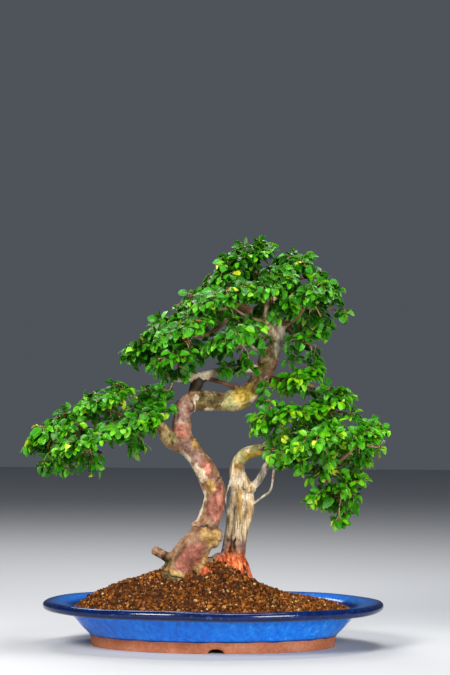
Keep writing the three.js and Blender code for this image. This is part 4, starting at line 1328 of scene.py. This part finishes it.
CAMERA_DISTANCE = 3.044
CAMERA_HEIGHT = 0.351
CAMERA_FOCUS_PX = 2300
CAMERA_SIDE_DEG = 2.07
CAMERA_YAW_DEG = 2.30
CAMERA_PITCH_DEG = 1.036
CAMERA_ROLL_DEG = 0.5
IMAGE_HEIGHT_PX = 675
SENSOR_HEIGHT = 24
FLOOR_HALF_SIZE = 6.0
LIGHTS_AIM = (0, 0, 0.26)


def make_camera():
    camera = new_object("camera", bpy.data.cameras.new("camera"))
    camera.data.sensor_fit = "VERTICAL"
    camera.data.sensor_height = SENSOR_HEIGHT
    camera.data.lens = CAMERA_FOCUS_PX * SENSOR_HEIGHT / IMAGE_HEIGHT_PX
    side = math.radians(CAMERA_SIDE_DEG)
    away = (-math.sin(side) * CAMERA_DISTANCE, -math.cos(side) * CAMERA_DISTANCE, CAMERA_HEIGHT)
    camera.location = POT_MIDDLE + Vector(away)
    camera.rotation_mode = "XYZ"
    turn = (
        Matrix.Rotation(-math.radians(CAMERA_YAW_DEG), 3, "Z")
        @ Matrix.Rotation(math.radians(90 + CAMERA_PITCH_DEG), 3, "X")
        @ Matrix.Rotation(math.radians(CAMERA_ROLL_DEG), 3, "Z")
    )
    camera.rotation_euler = turn.to_euler()
    bpy.context.scene.camera = camera


def make_stage():
    paint = Paint("pale floor")
    half = FLOOR_HALF_SIZE
    points = [(-half, -half, 0), (half, -half, 0), (half, half, 0), (-half, half, 0)]
    floor = mesh_object("floor", points, [(0, 1, 2), (0, 2, 3)], smooth=False)
    floor.data.materials.append(paint.finish((0.46, 0.47, 0.49), 0.8, specular=0.2))


def area_light(name, at, size, power, colour=(1, 1, 1)):
    light = bpy.data.lights.new(name, "AREA")
    light.shape = "RECTANGLE"
    light.size, light.size_y = size
    light.energy = power
    light.color = colour
    holder = new_object(name, light)
    holder.location = at
    holder.rotation_euler = (Vector(LIGHTS_AIM) - Vector(at)).to_track_quat("-Z", "Y").to_euler()


def make_lights():
    world = bpy.data.worlds.new("studio")
    world.use_nodes = True
    background = world.node_tree.nodes["Background"]
    background.inputs["Color"].default_value = (0.52, 0.58, 0.68, 1)
    background.inputs["Strength"].default_value = 0.15
    bpy.context.scene.world = world
    area_light("key", (-1.1, -1.6, 1.3), (0.8, 0.8), 72, (1, 0.97, 0.93))
    area_light("fill", (1.2, -1.9, 0.8), (0.8, 0.8), 52)
    area_light("top", (0.2, 0.2, 1.9), (0.7, 0.7), 26)
    area_light("back", (-0.5, 1.6, 1.9), (1.0, 0.8), 22)
    bpy.context.scene.view_settings.view_transform = "Standard"


make_pot()
make_soil()
make_grains("soil_grains_fine", FINE_GRAINS, octahedron(), (1.2, 2.3), (0.5, 1.5), SEED, 0)
make_grains("soil_grains_coarse", COARSE_GRAINS, icosahedron(), (1.7, 3.0), (0.45, 1.35), SEED + 1, 0.35)
make_wood()
make_foliage()
make_stage()
make_lights()
make_camera()
